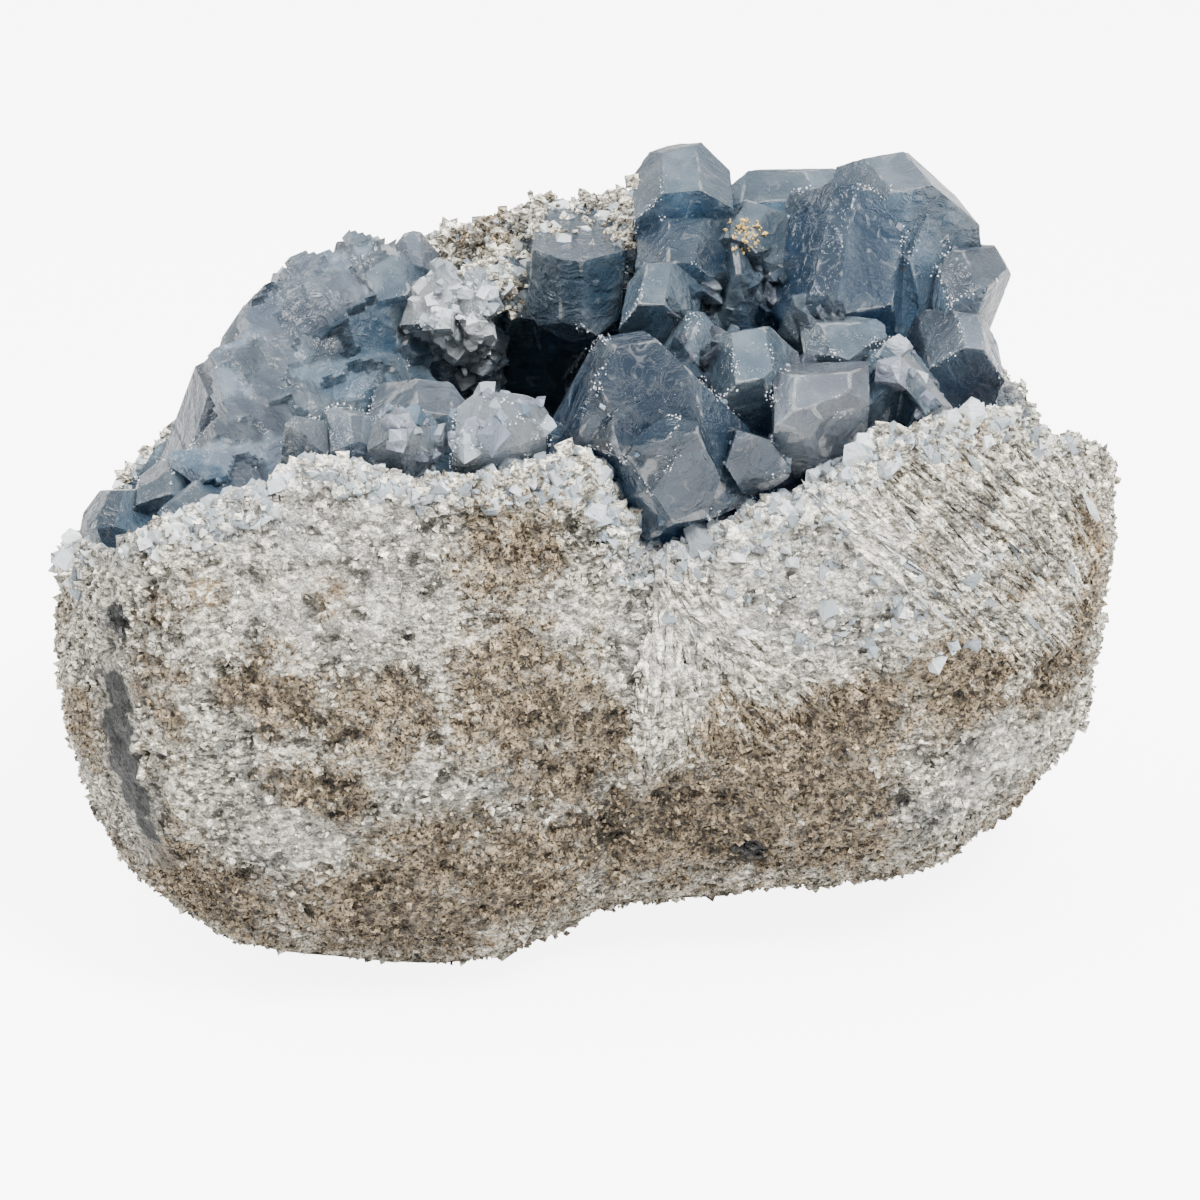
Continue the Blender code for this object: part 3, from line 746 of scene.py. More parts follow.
def lay_fibres(name, skin, ways, where, count, reach, material, chance, broad):
    """Long thin crystals of the rind, of a reach of lengths, lying along the stated ways in its skin."""
    points, normals = skin
    low, high = reach
    chosen = picked(where, count, chance)
    length = low + (high - low) * chance.random(count)
    width = chance.uniform(0.5, broad, count)
    sizes = np.stack((width, width * chance.uniform(0.6, 1.0, count), length), axis=1)
    wander = chance.normal(size=(count, 3)) * 0.08
    along = ways[chosen] - normals[chosen] * np.einsum("ij,ij->i", ways[chosen], normals[chosen])[:, None]
    along = along / np.linalg.norm(along, axis=1)[:, None] + wander
    centres = points[chosen] + normals[chosen] * (width * chance.uniform(-0.45, 0.1, count))[:, None]
    turns = turned_to(along, chance)
    lay_grains(name, centres, sizes * FIBRE_STRETCH, turns, FIBRE_JITTER, material, chance)


def grow_druse(name, places, ways, reach, sunk, material, chance, slim=(0.5, 0.9)):
    """Small pointed crystals, of a reach of lengths, standing on the stated places."""
    low, high = reach
    count = len(places)
    lengths = low + (high - low) * chance.random(count) ** 1.8
    widths = lengths[:, None] * chance.uniform(*slim, (count, 2))
    sizes = np.concatenate((widths, lengths[:, None]), axis=1)
    ways = ways / np.linalg.norm(ways, axis=1)[:, None]
    leaning = ways + chance.normal(size=ways.shape) * DRUSE_LEAN
    places = places - ways * (lengths * sunk)[:, None]
    turns = turned_to(leaning, chance)
    corners, faces = many(POINTED_CORNERS, POINTED_FACES, places, sizes, turns, DRUSE_JITTER, chance)
    make_piece(name, corners, faces, material)


# The large crystals: a point inside, the tip, half the width, and the kind: 0 is dark blue,
# 0.35 blue grey, 0.5 clear, 0.68 mauve and 1 pale and cloudy.
CRYSTAL_KINDS = (
    ("front slab", (7, -24, 68), (4.6, -19, 80), 12, 0.0),
    ("notch block", (9, -28, 64), (11.6, -31, 74), 6, 0.08),
    ("dark stub", (19.6, -27, 67), (19.6, -33, 72), 4, 0.0),
    ("mauve boulder", (26.8, -19, 68), (26.9, -24, 77), 5.5, 0.7),
    ("centre left", (14, -7, 70), (12.1, -13, 80), 5.5, 0.45),
    ("centre ridge", (20.6, -15, 70), (19.6, -19, 80), 6, 0.48),
    ("smoky point", (9.9, -1, 72), (8.1, -6, 83), 4.5, 0.5),
    ("centre blade", (19, 4, 75), (17.6, 0, 84), 5.5, 0.3),
    ("summit", (12.5, 15, 80), (11.1, 10, 92), 6, 0.48),
    ("summit foot", (13.5, 8, 74), (12.6, 2, 86), 7, 0.1),
    ("valley face", (21, 11, 77), (19.6, 5, 87), 6.5, 0.4),
    ("roof blade", (24, 19, 79), (23.6, 15, 88), 7.5, 0.45),
    ("great block", (31, 8, 76), (28.6, -3, 85), 9, 0.03),
    ("great shoulder", (37.5, 12, 76), (35.9, 9, 92), 8, 0.52),
    ("shoulder flank", (41, 9, 76), (38.1, 7, 88), 3.5, 0.5),
    ("right knob", (42.3, 11, 77), (42.6, 7, 86), 3, 0.5),
    ("right spur", (44.8, 7, 72), (47.0, 3, 81), 4.5, 0.6),
    ("right foot", (43, 2, 67), (44.9, -2, 76), 5, 0.62),
    ("fore right block", (31, -7, 69), (30.1, -11, 78), 5, 0.5),
    ("fore right wedge", (36.4, -11, 68), (35.1, -15, 77), 4.5, 0.42),
    ("rim blade", (42, -20, 71), (34.6, -15, 79.5), 1.7, 1.0),
    ("hanging block", (-1.4, 16, 76), (-1.4, 4, 76), 6, 0.32),
    ("hanging crown", (1.6, 20, 73), (2.6, 14, 80), 4, 0.55),
    ("back panel", (-8, 20, 70), (-7.9, 13, 75), 6.5, 0.42),
    ("pale cluster left", (-18.5, 16, 68), (-17.4, 7, 76), 4, 1.0),
    ("pale cluster right", (-13.5, 16, 68), (-12.9, 7, 77), 3.5, 0.97),
    ("wall panel", (-26, 18, 68), (-24.4, 12, 77), 5.5, 0.36),
    ("wall panel low", (-27, 14, 60), (-24.9, 7, 69.5), 7, 0.4),
    ("dark knob", (-22.5, 22, 70), (-21.4, 18, 78), 3.5, 0.6),
    ("left wall high", (-33, 16, 68), (-29.9, 12, 76), 6.5, 0.72),
    ("left wall crest", (-39.5, 12, 65), (-37.4, 10, 72), 6, 0.8),
    ("left wall low", (-42.5, 4, 60), (-39.4, 2, 68), 6, 0.66),
    ("left wall foot", (-34.4, 5, 58), (-31.4, 2, 66), 5.5, 0.6),
    ("mauve left", (-42.4, -5, 57), (-40.4, -8, 64), 6, 0.68),
    ("hollow boulder", (-20, -3, 56), (-18.4, -5, 69), 7, 0.62),
    ("left tip crystal", (-50, -9, 56), (-48.4, -12, 61), 4, 0.5),
    ("left end block", (-55.6, -11, 54), (-56.4, -13, 58), 4.5, 0.2),
    ("left rim plate", (-46, -16, 59), (-45.4, -20, 61), 4, 0.3),
    ("front rim triangle", (-21, -27, 70), (-20.4, -30, 76), 3.5, 0.9),
    ("front rim cube", (-9.6, -26, 70), (-9.4, -29, 76), 5.3, 0.88),
    ("front rim dark", (-27, -25, 69), (-25.9, -28, 75), 3, 0.6),
    ("front rim small", (-32, -25, 69), (-31.4, -28, 74), 3, 0.8),
    ("left wall step", (-35.5, 14, 68), (-33.9, 11, 75), 4, 0.85),
    ("left wall ledge", (-41.5, 8, 64), (-39.9, 6, 70), 4, 0.8),
    ("wall notch", (-27.5, 18, 70), (-26.2, 15, 79), 3.5, 0.6),
)
OTHER_KIND = 0.42
PALE_KIND = 0.84
SHARP_ANGLE = math.radians(12.0)
EDGE_MESH, FACE_MESH = 0.85, 3.2
EDGE_ZONE = 3.0
CHIP_DEPTH = 0.16
CHIP_WIDTH = 0.55
FACE_WAVE, FACE_WAVE_SPACING = 0.06, 3.5
FLAT_ENOUGH = 0.9995
SHADE_ANGLE = math.radians(9.0)
RIDGE_STEP, CREASE_STEP = 0.2, 0.8
CUTTING_ROUNDS = 7


def kind_at(point):
    """What kind of crystal a place of the crust belongs to."""
    best, kind = 1.6, OTHER_KIND
    for _, foot, tip, half, own in CRYSTAL_KINDS:
        away = to_segment(point, Vector(foot), Vector(tip)) / half
        if away < best:
            best, kind = away, own
    return kind


def flat_patches(shape):
    """Faces of the crust gathered into flat patches, as lists."""
    seen, patches = set(), []
    for first in shape.faces:
        if first in seen:
            continue
        patch, waiting = [], [first]
        seen.add(first)
        while waiting:
            face = waiting.pop()
            patch.append(face)
            for edge in face.edges:
                for other in edge.link_faces:
                    if other not in seen and other.normal.dot(face.normal) > FLAT_ENOUGH:
                        seen.add(other)
                        waiting.append(other)
        patches.append(patch)
    return patches


def points_along(edges, step):
    """Places along some edges, about a step in millimetres apart, with each edge's outward way."""
    places, ways = [], []
    for edge in edges:
        start, end = (corner.co / MM for corner in edge.verts)
        way = sum((face.normal for face in edge.link_faces), Vector())
        count = max(1, round((end - start).length / step))
        for index in range(count):
            places.append(start.lerp(end, (index + 0.5) / count))
            ways.append(way)
    return places, ways


def tree_of(places):
    """A search tree over some places."""
    tree = KDTree(len(places))
    for index, place in enumerate(places):
        tree.insert(place, index)
    tree.balance()
    return tree


def seen_from_above(face):
    """Whether a face of the crust looks into the open hollow, rather than at the stone behind it."""
    centre = face.calc_center_median() / MM
    return face.normal.dot((centre - HEART).normalized()) < 0.35 or centre.z > 74.0


def too_long(edge, ridge_tree, finest):
    """Whether an edge of the crust still wants cutting: short ones only where a ridge is near."""
    if not any(seen_from_above(face) for face in edge.link_faces):
        return False
    start, end = (corner.co / MM for corner in edge.verts)
    length = (end - start).length
    if length <= finest:
        return False
    return length > FACE_MESH or ridge_tree.find(start.lerp(end, 0.5))[2] < 0.5 * length + CHIP_WIDTH


def mark_patches(shape, kind_layer, face_layer):
    """Give each flat face of a crystal its kind and its own tone."""
    chance = random.Random(SEED)
    for patch in flat_patches(shape):
        area = sum(face.calc_area() for face in patch)
        middle = sum((face.calc_center_median() * face.calc_area() for face in patch), Vector()) / area / MM
        kind, own = kind_at(middle), chance.random()
        for face in patch:
            face[kind_layer] = kind
            face[face_layer] = own


def cut_finely(shape, ridge_tree):
    """Cut the crust's faces up, finely near the ridges."""
    finest = EDGE_MESH * quick_or(1.0)
    for _ in range(CUTTING_ROUNDS):
        shown = [edge for edge in shape.edges if too_long(edge, ridge_tree, finest)]
        if not shown:
            break
        bmesh.ops.subdivide_edges(shape, edges=shown, cuts=1)
        bmesh.ops.triangulate(shape, faces=[face for face in shape.faces if len(face.verts) > 3])
    shape.normal_update()


def faces_where(shape, held):
    """Middles and ways of the faces of the crust where something holds."""
    faces = [face for face in shape.faces if held(face)]
    places = np.array([face.calc_center_median() / MM for face in faces])
    return places, np.array([face.normal for face in faces])


def build_crust(material):
    """The crystals: the solid's own faces, with edges worn and frosted and faces a little uneven.

    Gives back places and ways along its creases, its ridges, its pale faces and its upward faces.
    """
    shape = bmesh.new()
    shape.from_mesh(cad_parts["crystal_crust"].data)
    bmesh.ops.remove_doubles(shape, verts=shape.verts, dist=1e-6)
    shape.normal_update()
    kind_layer = shape.faces.layers.float.new("kind")
    mark_patches(shape, kind_layer, shape.faces.layers.float.new("face"))
    sharp = [edge for edge in shape.edges if len(edge.link_faces) == 2 and edge.calc_face_angle() > SHARP_ANGLE]
    ridges = points_along([edge for edge in sharp if edge.is_convex], RIDGE_STEP)
    creases = points_along([edge for edge in sharp if not edge.is_convex], CREASE_STEP)
    ridge_tree, crease_tree = tree_of(ridges[0]), tree_of(creases[0])
    cut_finely(shape, ridge_tree)
    to_ridge, to_crease, moves = [], [], []
    for corner in shape.verts:
        place = corner.co / MM
        ridge, crease = ridge_tree.find(place)[2], crease_tree.find(place)[2]
        to_ridge.append(ridge)
        to_crease.append(crease)
        wear = max(0.0, 1.0 - ridge / CHIP_WIDTH) ** 2 * (0.6 + noise.noise(place / 1.1))
        wave = FACE_WAVE * noise.noise(place / FACE_WAVE_SPACING) * min(1.0, crease)
        moves.append(corner.normal * (-max(0.0, wear) * CHIP_DEPTH + min(wave, 0.0)) * MM)
    for corner, move in zip(shape.verts, moves):
        corner.co += move
    lumps = faces_where(shape, lambda face: face[kind_layer] > PALE_KIND and seen_from_above(face))
    roof = faces_where(shape, lambda face: face.normal.z > 0.3)
    mesh = bpy.data.meshes.new("celestite_crust")
    shape.to_mesh(mesh)
    shape.free()
    # Distances to the ridges and creases. The material uses them for chalk, painted glints and painted light at the
    # edges, and for painted shade in the creases.
    add_values(mesh, "ridge", np.clip(np.array(to_ridge) / EDGE_ZONE, 0.0, 1.0))
    add_values(mesh, "crease", np.clip(np.array(to_crease) / EDGE_ZONE, 0.0, 1.0))
    mesh.shade_smooth()
    mesh.set_sharp_from_angle(angle=SHADE_ANGLE)
    piece = finish_piece(new_object("celestite_crust", mesh), material)
    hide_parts("crystal_crust")
    return creases, ridges, lumps, roof


# The sheet of grown-together crystals on the left wall, seen squarely from WALL_WAY: how far it runs
# across and up, how near and far its places may lie, and the size and steps of its blocky facets.
WALL_WAY = Vector((0.42, -0.62, 0.66)).normalized()
WALL_ACROSS = Vector((0.83, 0.56, 0.0)).normalized()
WALL_UP = WALL_WAY.cross(WALL_ACROSS)
WALL_SPAN = (-47.0, -10.5)
WALL_RISE = (47.0, 83.0)
WALL_DEPTHS = (6.0, 34.0)
WALL_STEP = 0.6
WALL_LIFT = 0.25
WALL_THICKNESS = 2.0
WALL_FACETS = 70
WALL_FACET_SIZE = (2.6, 6.0)
WALL_FACET_STEP = 0.95
WALL_TILT = 0.19
WALL_JUMP = 1.6
WALL_SHADE = 0.1
WALL_PALEST = 0.68
WALL_SHADE_ANGLE = math.radians(20.0)


def wall_depth(crust_tree, start):
    """How far toward WALL_WAY the crust's first open face within WALL_DEPTHS lies, or nothing."""
    start = start + WALL_WAY * WALL_DEPTHS[1]
    for _ in range(6):
        place, way, _, _ = crust_tree.ray_cast(start, -WALL_WAY, WALL_DEPTHS[1] - WALL_DEPTHS[0])
        if place is None or place.dot(WALL_WAY) < WALL_DEPTHS[0]:
            return None
        if way.dot(WALL_WAY) > 0.0:
            return place.dot(WALL_WAY)
        start = place - WALL_WAY * 0.05
    return None


def window_of(grid, reach, empty):
    """A grid shifted by every step of a square window, with a value for what lies beyond its border."""
    wide, tall = grid.shape
    padded = np.pad(grid, reach, constant_values=empty)
    steps = range(2 * reach + 1)
    return [padded[across:across + wide, up:up + tall] for across in steps for up in steps]


def blocky_facets(across, up, chance):
    """Steps, slopes, tones and border distances of overlapping blocky facets over a grid."""
    seeds_across = chance.uniform(*WALL_SPAN, WALL_FACETS)
    seeds_up = chance.uniform(*WALL_RISE, WALL_FACETS)
    halves = chance.uniform(*WALL_FACET_SIZE, (WALL_FACETS, 2))
    turns = chance.normal(size=WALL_FACETS) * 0.18 - 0.1
    from_across, from_up = across[..., None] - seeds_across, up[..., None] - seeds_up
    side = from_across * np.cos(turns) + from_up * np.sin(turns)
    rise = from_up * np.cos(turns) - from_across * np.sin(turns)
    away = np.maximum(np.abs(side) / halves[:, 0], np.abs(rise) / halves[:, 1])
    own = np.argmin(away, axis=2)
    ranked = np.sort(away, axis=2)
    border = np.clip((ranked[..., 1] - ranked[..., 0]) * 2.5, 0.0, 1.0)
    steps = chance.uniform(-WALL_FACET_STEP, WALL_FACET_STEP, WALL_FACETS)
    slopes = chance.normal(size=(WALL_FACETS, 2)) * WALL_TILT
    own_side = np.take_along_axis(side, own[..., None], 2)[..., 0]
    own_rise = np.take_along_axis(rise, own[..., None], 2)[..., 0]
    moves = steps[own] + slopes[own, 0] * own_side + slopes[own, 1] * own_rise
    return moves, chance.uniform(-0.5, 0.8, WALL_FACETS)[own], border


def crust_heights(crust_tree, across, up):
    """The crust's smoothed height toward WALL_WAY over a grid, and where it is known."""
    depth = np.full(across.shape, -1e6)
    for spot in np.ndindex(across.shape):
        found = wall_depth(crust_tree, WALL_ACROSS * across[spot] + WALL_UP * up[spot])
        if found is not None:
            depth[spot] = found
    known = (depth > 0.0).astype(float)
    near = np.where(known > 0.0, np.max(window_of(depth, quick_or(4), -1e6), axis=0), 0.0)
    reach = quick_or(3)
    weight = np.sum(window_of(known, reach, 0.0), axis=0)
    return np.sum(window_of(near * known, reach, 0.0), axis=0) / np.maximum(weight, 1.0), known


def sheet_faces(held):
    """Faces of a sheet with a front and a back layer, closed round the border of what is held."""
    wide, tall = (count + 1 for count in held.shape)
    index, layer = np.arange(wide * tall).reshape(wide, tall), wide * tall
    faces = []
    for x, y in zip(*np.nonzero(held)):
        ring = [int(corner) for corner in (index[x, y], index[x + 1, y], index[x + 1, y + 1], index[x, y + 1])]
        faces.append(tuple(ring))
        faces.append(tuple(corner + layer for corner in ring[::-1]))
        around = ((x, y - 1), (x + 1, y), (x, y + 1), (x - 1, y))
        for side, (other_x, other_y) in enumerate(around):
            inside = 0 <= other_x < wide - 1 and 0 <= other_y < tall - 1 and held[other_x, other_y]
            if not inside:
                one, two = ring[side], ring[(side + 1) % 4]
                faces.append((two, one, one + layer, two + layer))
    return faces


def drop_loose(mesh):
    """Remove the points of a mesh that no face uses."""
    shape = bmesh.new()
    shape.from_mesh(mesh)
    loose = [corner for corner in shape.verts if not corner.link_faces]
    bmesh.ops.delete(shape, geom=loose, context="VERTS")
    shape.to_mesh(mesh)
    shape.free()


def build_wall(material, crust_tree, chance):
    """A sheet of blocky facets over the left wall, so that its crystals read as one grown-together crust."""
    step = WALL_STEP * quick_or(1.0)
    across, up = np.meshgrid(np.arange(*WALL_SPAN, step), np.arange(*WALL_RISE, step), indexing="ij")
    smooth, known = crust_heights(crust_tree, across, up)
    moves, tones, border = blocky_facets(across, up, chance)
    flat = across[..., None] * np.array(WALL_ACROSS) + up[..., None] * np.array(WALL_UP)
    layers = []
    for height in (smooth + WALL_LIFT + moves, smooth - WALL_THICKNESS):
        layers.append((flat + height[..., None] * np.array(WALL_WAY)).reshape(-1, 3))
    kinds = [min(kind_at(Vector(place)), WALL_PALEST) - WALL_SHADE for place in layers[0]]
    held = (known[:-1, :-1] + known[1:, :-1] + known[:-1, 1:] + known[1:, 1:]) > 3.5
    jump = np.maximum(np.abs(np.diff(smooth, axis=0))[:, :-1], np.abs(np.diff(smooth, axis=1))[:-1, :])
    held &= jump < WALL_JUMP * step / WALL_STEP
    mesh = make_piece("wall_sheet", np.concatenate(layers), sheet_faces(held), material).data
    marks = {"kind": kinds, "face": tones.ravel(), "ridge": border.ravel(), "crease": np.ones(smooth.size)}
    for mark, values in marks.items():
        add_values(mesh, mark, np.tile(values, 2))
    drop_loose(mesh)
    mesh.shade_smooth()
    mesh.set_sharp_from_angle(angle=WALL_SHADE_ANGLE)


# Camera at the photo's angle: 26 degrees above level, looking along the stone's front.
CAMERA_HEIGHT_ANGLE = 26.0
CAMERA_DISTANCE = 500.0
CAMERA_AIM = Vector((1.6, -1.86, 40.3))
LENS, SENSOR = 122.3, 36.0

# The lights: place, size, power in watts, and whether they show in reflections.
LIGHT_AIM = Vector((0, 0, 50))
LIGHTS = (
    ("key over the right", (260, -330, 720), 220, 15.0, False),
    ("softbox over the stone", (-150, 150, 820), 900, 8.0, False),
    ("left window", (-700, -200, 560), 420, 5.0, True),
    ("right fill", (700, -400, 300), 600, 2.0, True),
    ("small spark", (-260, -300, 640), 60, 0.8, True),
)
SKY_STRENGTH = 0.95
FLOOR_HALF_METRES = 4.0
FLOOR_GREY = (0.72, 0.72, 0.72, 1)
FLOOR_GLOW = 6.0
WHITE = (1.0, 1.0, 1.0, 1)


def aim(thing, place, target):
    """Put a camera or a light at a place in millimetres, looking at another."""
    thing.location = place * MM
    thing.rotation_mode = "QUATERNION"
    thing.rotation_quaternion = (target - place).to_track_quat("-Z", "Y")


def build_camera():
    """The photo's camera."""
    data = bpy.data.cameras.new("camera")
    data.lens, data.sensor_width = LENS, SENSOR
    data.clip_start = 0.01
    camera = new_object("camera", data)
    tilt = math.radians(CAMERA_HEIGHT_ANGLE)
    back = Vector((0.0, -math.cos(tilt), math.sin(tilt)))
    aim(camera, CAMERA_AIM + back * CAMERA_DISTANCE, CAMERA_AIM)
    bpy.context.scene.camera = camera


def build_floor():
    """A plain pale floor, as white as the photo's to the camera, that throws little light back up."""
    mesh = bpy.data.meshes.new("floor")
    signs = ((-1, -1), (1, -1), (1, 1), (-1, 1))
    mesh.from_pydata([(x * FLOOR_HALF_METRES, y * FLOOR_HALF_METRES, 0) for x, y in signs], [], [(0, 1, 2, 3)])
    floor = new_object("floor", mesh)
    given = {"Base Color": FLOOR_GREY, "Roughness": 0.9, "Emission Color": WHITE}
    material, graph, shader = new_material("pale floor", given)
    seen = graph.add("ShaderNodeLightPath").outputs["Is Camera Ray"]
    graph.feed(shader.inputs["Emission Strength"], graph.times(seen, FLOOR_GLOW))
    mesh.materials.append(material)


def build_light():
    """Soft studio light: an even white room, a key light from the upper right and small sparks."""
    world = bpy.data.worlds.new("soft sky")
    bpy.context.scene.world = world
    world.use_nodes = True
    sky = world.node_tree.nodes["Background"]
    sky.inputs["Color"].default_value = WHITE
    sky.inputs["Strength"].default_value = SKY_STRENGTH
    for name, place, size, power, in_reflections in LIGHTS:
        data = bpy.data.lights.new(name, "AREA")
        data.shape = "SQUARE"
        data.size = size * MM
        data.energy = power
        light = new_object(name, data)
        aim(light, Vector(place), LIGHT_AIM)
        light.visible_glossy = in_reflections


# Where the right end's clear shards lie, and how thickly the rind's fibres, shards and rim are strewn.
SHARD_START, SHARD_END, SHARD_REACH = (16.0, -29, 58), (40.0, -27, 54), 9.0
FAN_FIBRES, RIB_FIBRES, CLEAR_FIBRES, SHARDS = 1500, 1500, 120, 240
RIM_CRYSTALS, RIM_SPLINTERS, RIM_GRAINS, SEAM_CRYSTALS, BACK_RIM_GRAINS = 2200, 4000, 4500, 900, 2600


def dress_skin(skin, facing, rim, grains, clear, chance):
    """Grains, the fan of fibres, the ribs and the clear shards over the stone's skin."""
    share = quick_or(1.0)
    points = skin[0]
    outer = (facing > 0.15) & (points[:, 2] > 1.5)
    rough = outer & (distance_to_run(points, INCLUSION_TOP, INCLUSION_FOOT) > INCLUSION_WIDTH)
    for index, (count, *reach) in enumerate(GRAIN_SIZES):
        name = f"rind_grains_{index + 1}"
        scatter_grains(name, skin, rough, int(count * share), reach, (-0.4, 0.0), grains, chance)
    from_fan = points - np.array(FAN_CENTRE)
    spread = np.maximum(np.linalg.norm(from_fan, axis=1), 0.01)
    fan = outer & (spread < FAN_REACH) & (from_fan @ np.array(FAN_WAY) / spread > FAN_SPREAD)
    ways = from_fan + chance.normal(size=from_fan.shape) * 0.25 * spread[:, None]
    lay_fibres("rind_fan", skin, ways, fan, int(FAN_FIBRES * share), (1.5, 5.5), grains, chance, 1.2)
    ribs = outer & (rim < 0.05) & (distance_to_run(points, RIB_START, RIB_END) < RIB_REACH)
    ways = np.tile(np.array(RIB_END - RIB_START), (len(points), 1))
    ways = ways + chance.normal(size=ways.shape) * 2.6
    lay_fibres("rind_ribs", skin, ways, ribs, int(RIB_FIBRES * share), (2.5, 8.0), grains, chance, 1.5)
    lay_fibres("clear_ribs", skin, ways, ribs, int(CLEAR_FIBRES * share), (2.5, 7.0), clear, chance, 1.3)
    shards = outer & (distance_to_run(points, SHARD_START, SHARD_END) < SHARD_REACH)
    scatter_grains("clear_shards", skin, shards, int(SHARDS * share), (0.7, 2.2), (-0.4, 0.0), clear, chance)


def dress_rim(skin, facing, rim, grains, clear, chance):
    """Small crystals, splinters and grains along the broken rim, and in the seam where the crystals begin."""
    share = quick_or(1.0)
    points, normals = skin
    lip = (rim > 0.15) & (facing > -0.15) & (points[:, 2] > 40.0)
    chosen = picked(lip, int(RIM_CRYSTALS * share), chance)
    ways = normals[chosen] + np.array([0.0, 0.0, 0.8])
    grow_druse("rim_druse", points[chosen], ways, (0.8, 2.6), 0.72, clear, chance, (0.5, 1.0))
    strewn = lip & (chance.random(len(points)) < 0.4 + 0.6 * rim)
    count = int(RIM_SPLINTERS * share)
    scatter_grains("rim_splinters", skin, strewn, count, (0.4, 1.6), (-0.2, 0.2), clear, chance)
    scatter_grains("rim_grains", skin, strewn, int(RIM_GRAINS * share), (0.5, 1.8), (-0.1, 0.3), grains, chance)
    seam = (rim > 0.55) & (facing > -0.7) & (facing < 0.5) & (points[:, 2] > 44.0)
    chosen = picked(seam, int(SEAM_CRYSTALS * share), chance)
    ways = normals[chosen] * 0.6 + np.array([0.0, -0.3, 1.0])
    grow_druse("seam_druse", points[chosen], ways, (1.0, 3.6), 0.45, clear, chance)
    # Bearings round the heart of the hollow, in degrees from +X towards +Y.
    bearings = np.degrees(np.arctan2(points[:, 1] - HEART.y, points[:, 0] - HEART.x)) % 360
    back = (rim > 0.05) & (bearings > 55) & (bearings < 135) & (points[:, 2] > 70.0)
    count = int(BACK_RIM_GRAINS * share)
    scatter_grains("back_rim_grains", skin, back, count, (0.8, 2.2), (-0.3, 0.3), grains, chance)


# Small crystals of the hollow: where the large ones meet, and the clear shards in its middle.
CREASE_CRYSTALS = 420
# Below this height the small crystals in the creases are dark blue, darkened as painted shade of the deep hollow.
SHADED_DARK_BELOW = 66.0
CLEAR_BLADES = 130
BLADE_SPOT, BLADE_REACH, BLADE_HEIGHTS = (18.0, -5.0), (14.0, 12.0), (68.0, 82.0)


def dress_hollow(creases, pale, smoky, blades, chance):
    """Small crystals where the large ones meet, dark ones low down as painted shade of the deep hollow, and clear
    shards in the middle.
    """
    places, ways = np.array(creases[0]), np.array(creases[1])
    shown = (ways @ np.array([0.0, -0.5, 0.85])) > 0.1
    chosen = picked(shown, int(CREASE_CRYSTALS * quick_or(1.0)), chance)
    low_down = places[chosen][:, 2] < SHADED_DARK_BELOW
    low, high = chosen[low_down], chosen[~low_down]
    grow_druse("shaded_dark_druse", places[low], ways[low], (0.8, 2.6), 0.55, smoky, chance)
    grow_druse("pale_druse", places[high], ways[high], (0.4, 1.3), 0.6, pale, chance)
    middle = np.all(np.abs(places[:, :2] - np.array(BLADE_SPOT)) < np.array(BLADE_REACH), axis=1)
    middle &= (places[:, 2] > BLADE_HEIGHTS[0]) & (places[:, 2] < BLADE_HEIGHTS[1])
    chosen = picked(shown & middle, CLEAR_BLADES, chance)
    standing = ways[chosen] + np.array([0.0, -0.5, 0.5])
    grow_druse("clear_blades", places[chosen], standing, (3.5, 8.0), 0.5, blades, chance, (0.18, 0.42))


def cover_pale(lumps, cloudy, blue, chance):
    """Small crystals all over the pale clusters: cloudy ones at the back, bluer ones on the front rim."""
    places, ways = lumps
    at_back = places[:, 1] > 0.0
    for name, here, count, material in (
        ("pale_lumps", at_back, 300, cloudy),
        ("front_lumps", ~at_back, 240, blue),
    ):
        chosen = picked(here, int(count * quick_or(1.0)), chance)
        spots = places[chosen] + chance.normal(size=(len(chosen), 3)) * 0.4
        grow_druse(name, spots, ways[chosen], (0.8, 3.4), 0.72, material, chance, (0.5, 1.0))


# The back rim's grains on the tops of the crystals there: from left to right, how far forward on the
# hanging block, and how low they lie, in millimetres.
ROOF_SPAN, ROOF_FRONT, ROOF_LOW = (-15.0, 6.0), 9.5, 73.0
ROOF_GRAINS, ROOF_CRYSTALS = 700, 160


def cover_roof(roof, grains, cloudy, chance):
    """Pale grains and small crystals of the back rim, running onto the tops of the crystals there."""
    share = quick_or(1.0)
    places, ways = roof
    here = (places[:, 0] > ROOF_SPAN[0]) & (places[:, 0] < ROOF_SPAN[1])
    here &= (places[:, 1] > ROOF_FRONT) & (places[:, 2] > ROOF_LOW)
    scatter_grains("roof_grains", roof, here, int(ROOF_GRAINS * share), (0.6, 1.8), (-0.2, 0.3), grains, chance, 0.8)
    chosen = picked(here, int(ROOF_CRYSTALS * share), chance)
    grow_druse("roof_druse", places[chosen], ways[chosen], (0.8, 2.6), 0.6, cloudy, chance, (0.5, 1.0))


# Frost on the crystals' edges, standing also as painted glints: how many grains, their size, and how it gathers in
# stretches.
FROST_AND_GLINT_GRAINS = 3200
FROST_AND_GLINT_SIZE = (0.06, 0.22)
FROST_AND_GLINT_STRETCH, FROST_AND_GLINT_START = 6.0, 0.27

# The pinch of golden grains in the valley between the summit and the great block.
GOLD_SPOT = Vector((19.0, 2.5, 86.5))
GOLD_REACH = 1.25
GOLD_GRAINS = 90


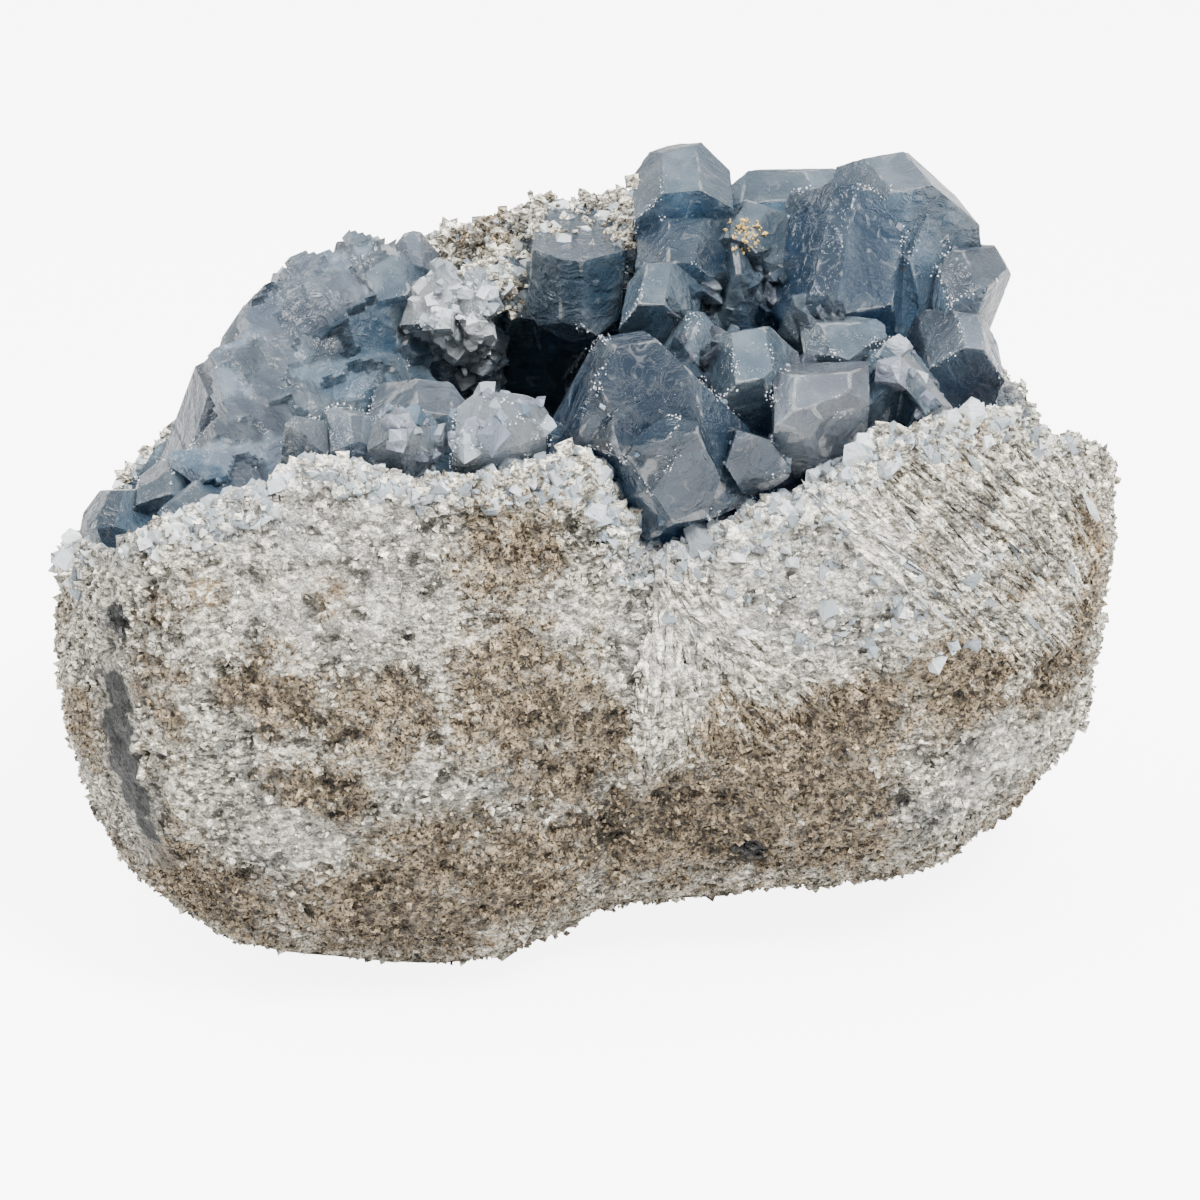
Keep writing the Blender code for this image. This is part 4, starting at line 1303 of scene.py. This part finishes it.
def frost_and_glint_ridges(ridges, material, chance):
    """White grains of frost along stretches of the crystals' edges that face up and forward, which stand also as
    painted glints.
    """
    places, ways = np.array(ridges[0]), np.array(ridges[1])
    cloud = np.array([noise.noise(place / FROST_AND_GLINT_STRETCH) for place in ridges[0]])
    shown = (ways @ np.array([0.0, -0.6, 0.8]) > 0.2) & (places[:, 2] > 60.0) & (cloud > FROST_AND_GLINT_START)
    count = int(FROST_AND_GLINT_GRAINS * quick_or(1.0))
    scatter_grains("edge_frost_and_glints", (places, ways), shown, count, FROST_AND_GLINT_SIZE, (-0.3, 0.1), material, chance, 0.4)


def lay_gold(crust_tree, material, chance):
    """A pinch of golden grains on the crystals in the valley."""
    spots, ways = [], []
    for _ in range(GOLD_GRAINS):
        near = GOLD_SPOT + Vector(chance.normal(size=3)) * GOLD_REACH
        place, way, _, _ = crust_tree.find_nearest(near)
        spots.append(place)
        ways.append(way)
    skin, everywhere = (np.array(spots), np.array(ways)), np.ones(GOLD_GRAINS, dtype=bool)
    scatter_grains("golden_grains", skin, everywhere, GOLD_GRAINS, (0.2, 0.6), (-0.1, 0.3), material, chance, 0.3)


def plain_material(name, colour, roughness):
    """One colour, for grains too small to show more."""
    return new_material(name, {"Base Color": colour, "Roughness": roughness})[0]


def main():
    """Build the stone and its crystals, dress them, and set up the camera, the floor and the light."""
    chance = np.random.default_rng(SEED)
    sugar, celestite = stone_group(), crystal_group()
    stone = stone_material("sugary rind", sugar, False)
    grains = stone_material("rind grains", sugar, True)
    crystal = celestite_material("celestite", celestite, 0.04, 0.8, ((0.2, 0.42, 0.58, 1), 90.0))
    wall = celestite_material("wall crystal", celestite, 0.1, 0.72, ((0.3, 0.42, 0.5, 1), 140.0))
    pale = celestite_material("pale druse", celestite, 0.15, 0.45, None, 0.45)
    # Small crystals low in the hollow, dark blue and darkened as painted shade of the deep hollow.
    smoky = celestite_material("shaded dark druse", celestite, 0.08, 0.7, None, 0.08)
    blades = celestite_material("clear blades", celestite, 0.03, 0.85, None, 0.35)
    clear = celestite_material("rim crystals", celestite, 0.2, 0.35, None, 0.78, 0.25)
    # White frost grains on the edges, standing also as painted glints.
    frost = plain_material("edge frost and glints", (0.8, 0.83, 0.86, 1), 0.35)
    gold = plain_material("golden grains", (0.55, 0.38, 0.13, 1), 0.45)
    creases, ridges, lumps, roof = build_crust(crystal)
    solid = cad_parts["crystal_crust"].data
    corners = [corner.co / MM for corner in solid.vertices]
    crust_tree = BVHTree.FromPolygons(corners, [tuple(face.vertices) for face in solid.polygons])
    build_wall(wall, crust_tree, chance)
    skin, facing, rim = build_rind(stone, crust_tree)
    dress_skin(skin, facing, rim, grains, clear, chance)
    dress_rim(skin, facing, rim, grains, clear, chance)
    dress_hollow(creases, pale, smoky, blades, chance)
    cover_pale(lumps, clear, pale, chance)
    cover_roof(roof, grains, clear, chance)
    frost_and_glint_ridges(ridges, frost, chance)
    lay_gold(crust_tree, gold, chance)
    build_camera()
    build_floor()
    build_light()


main()
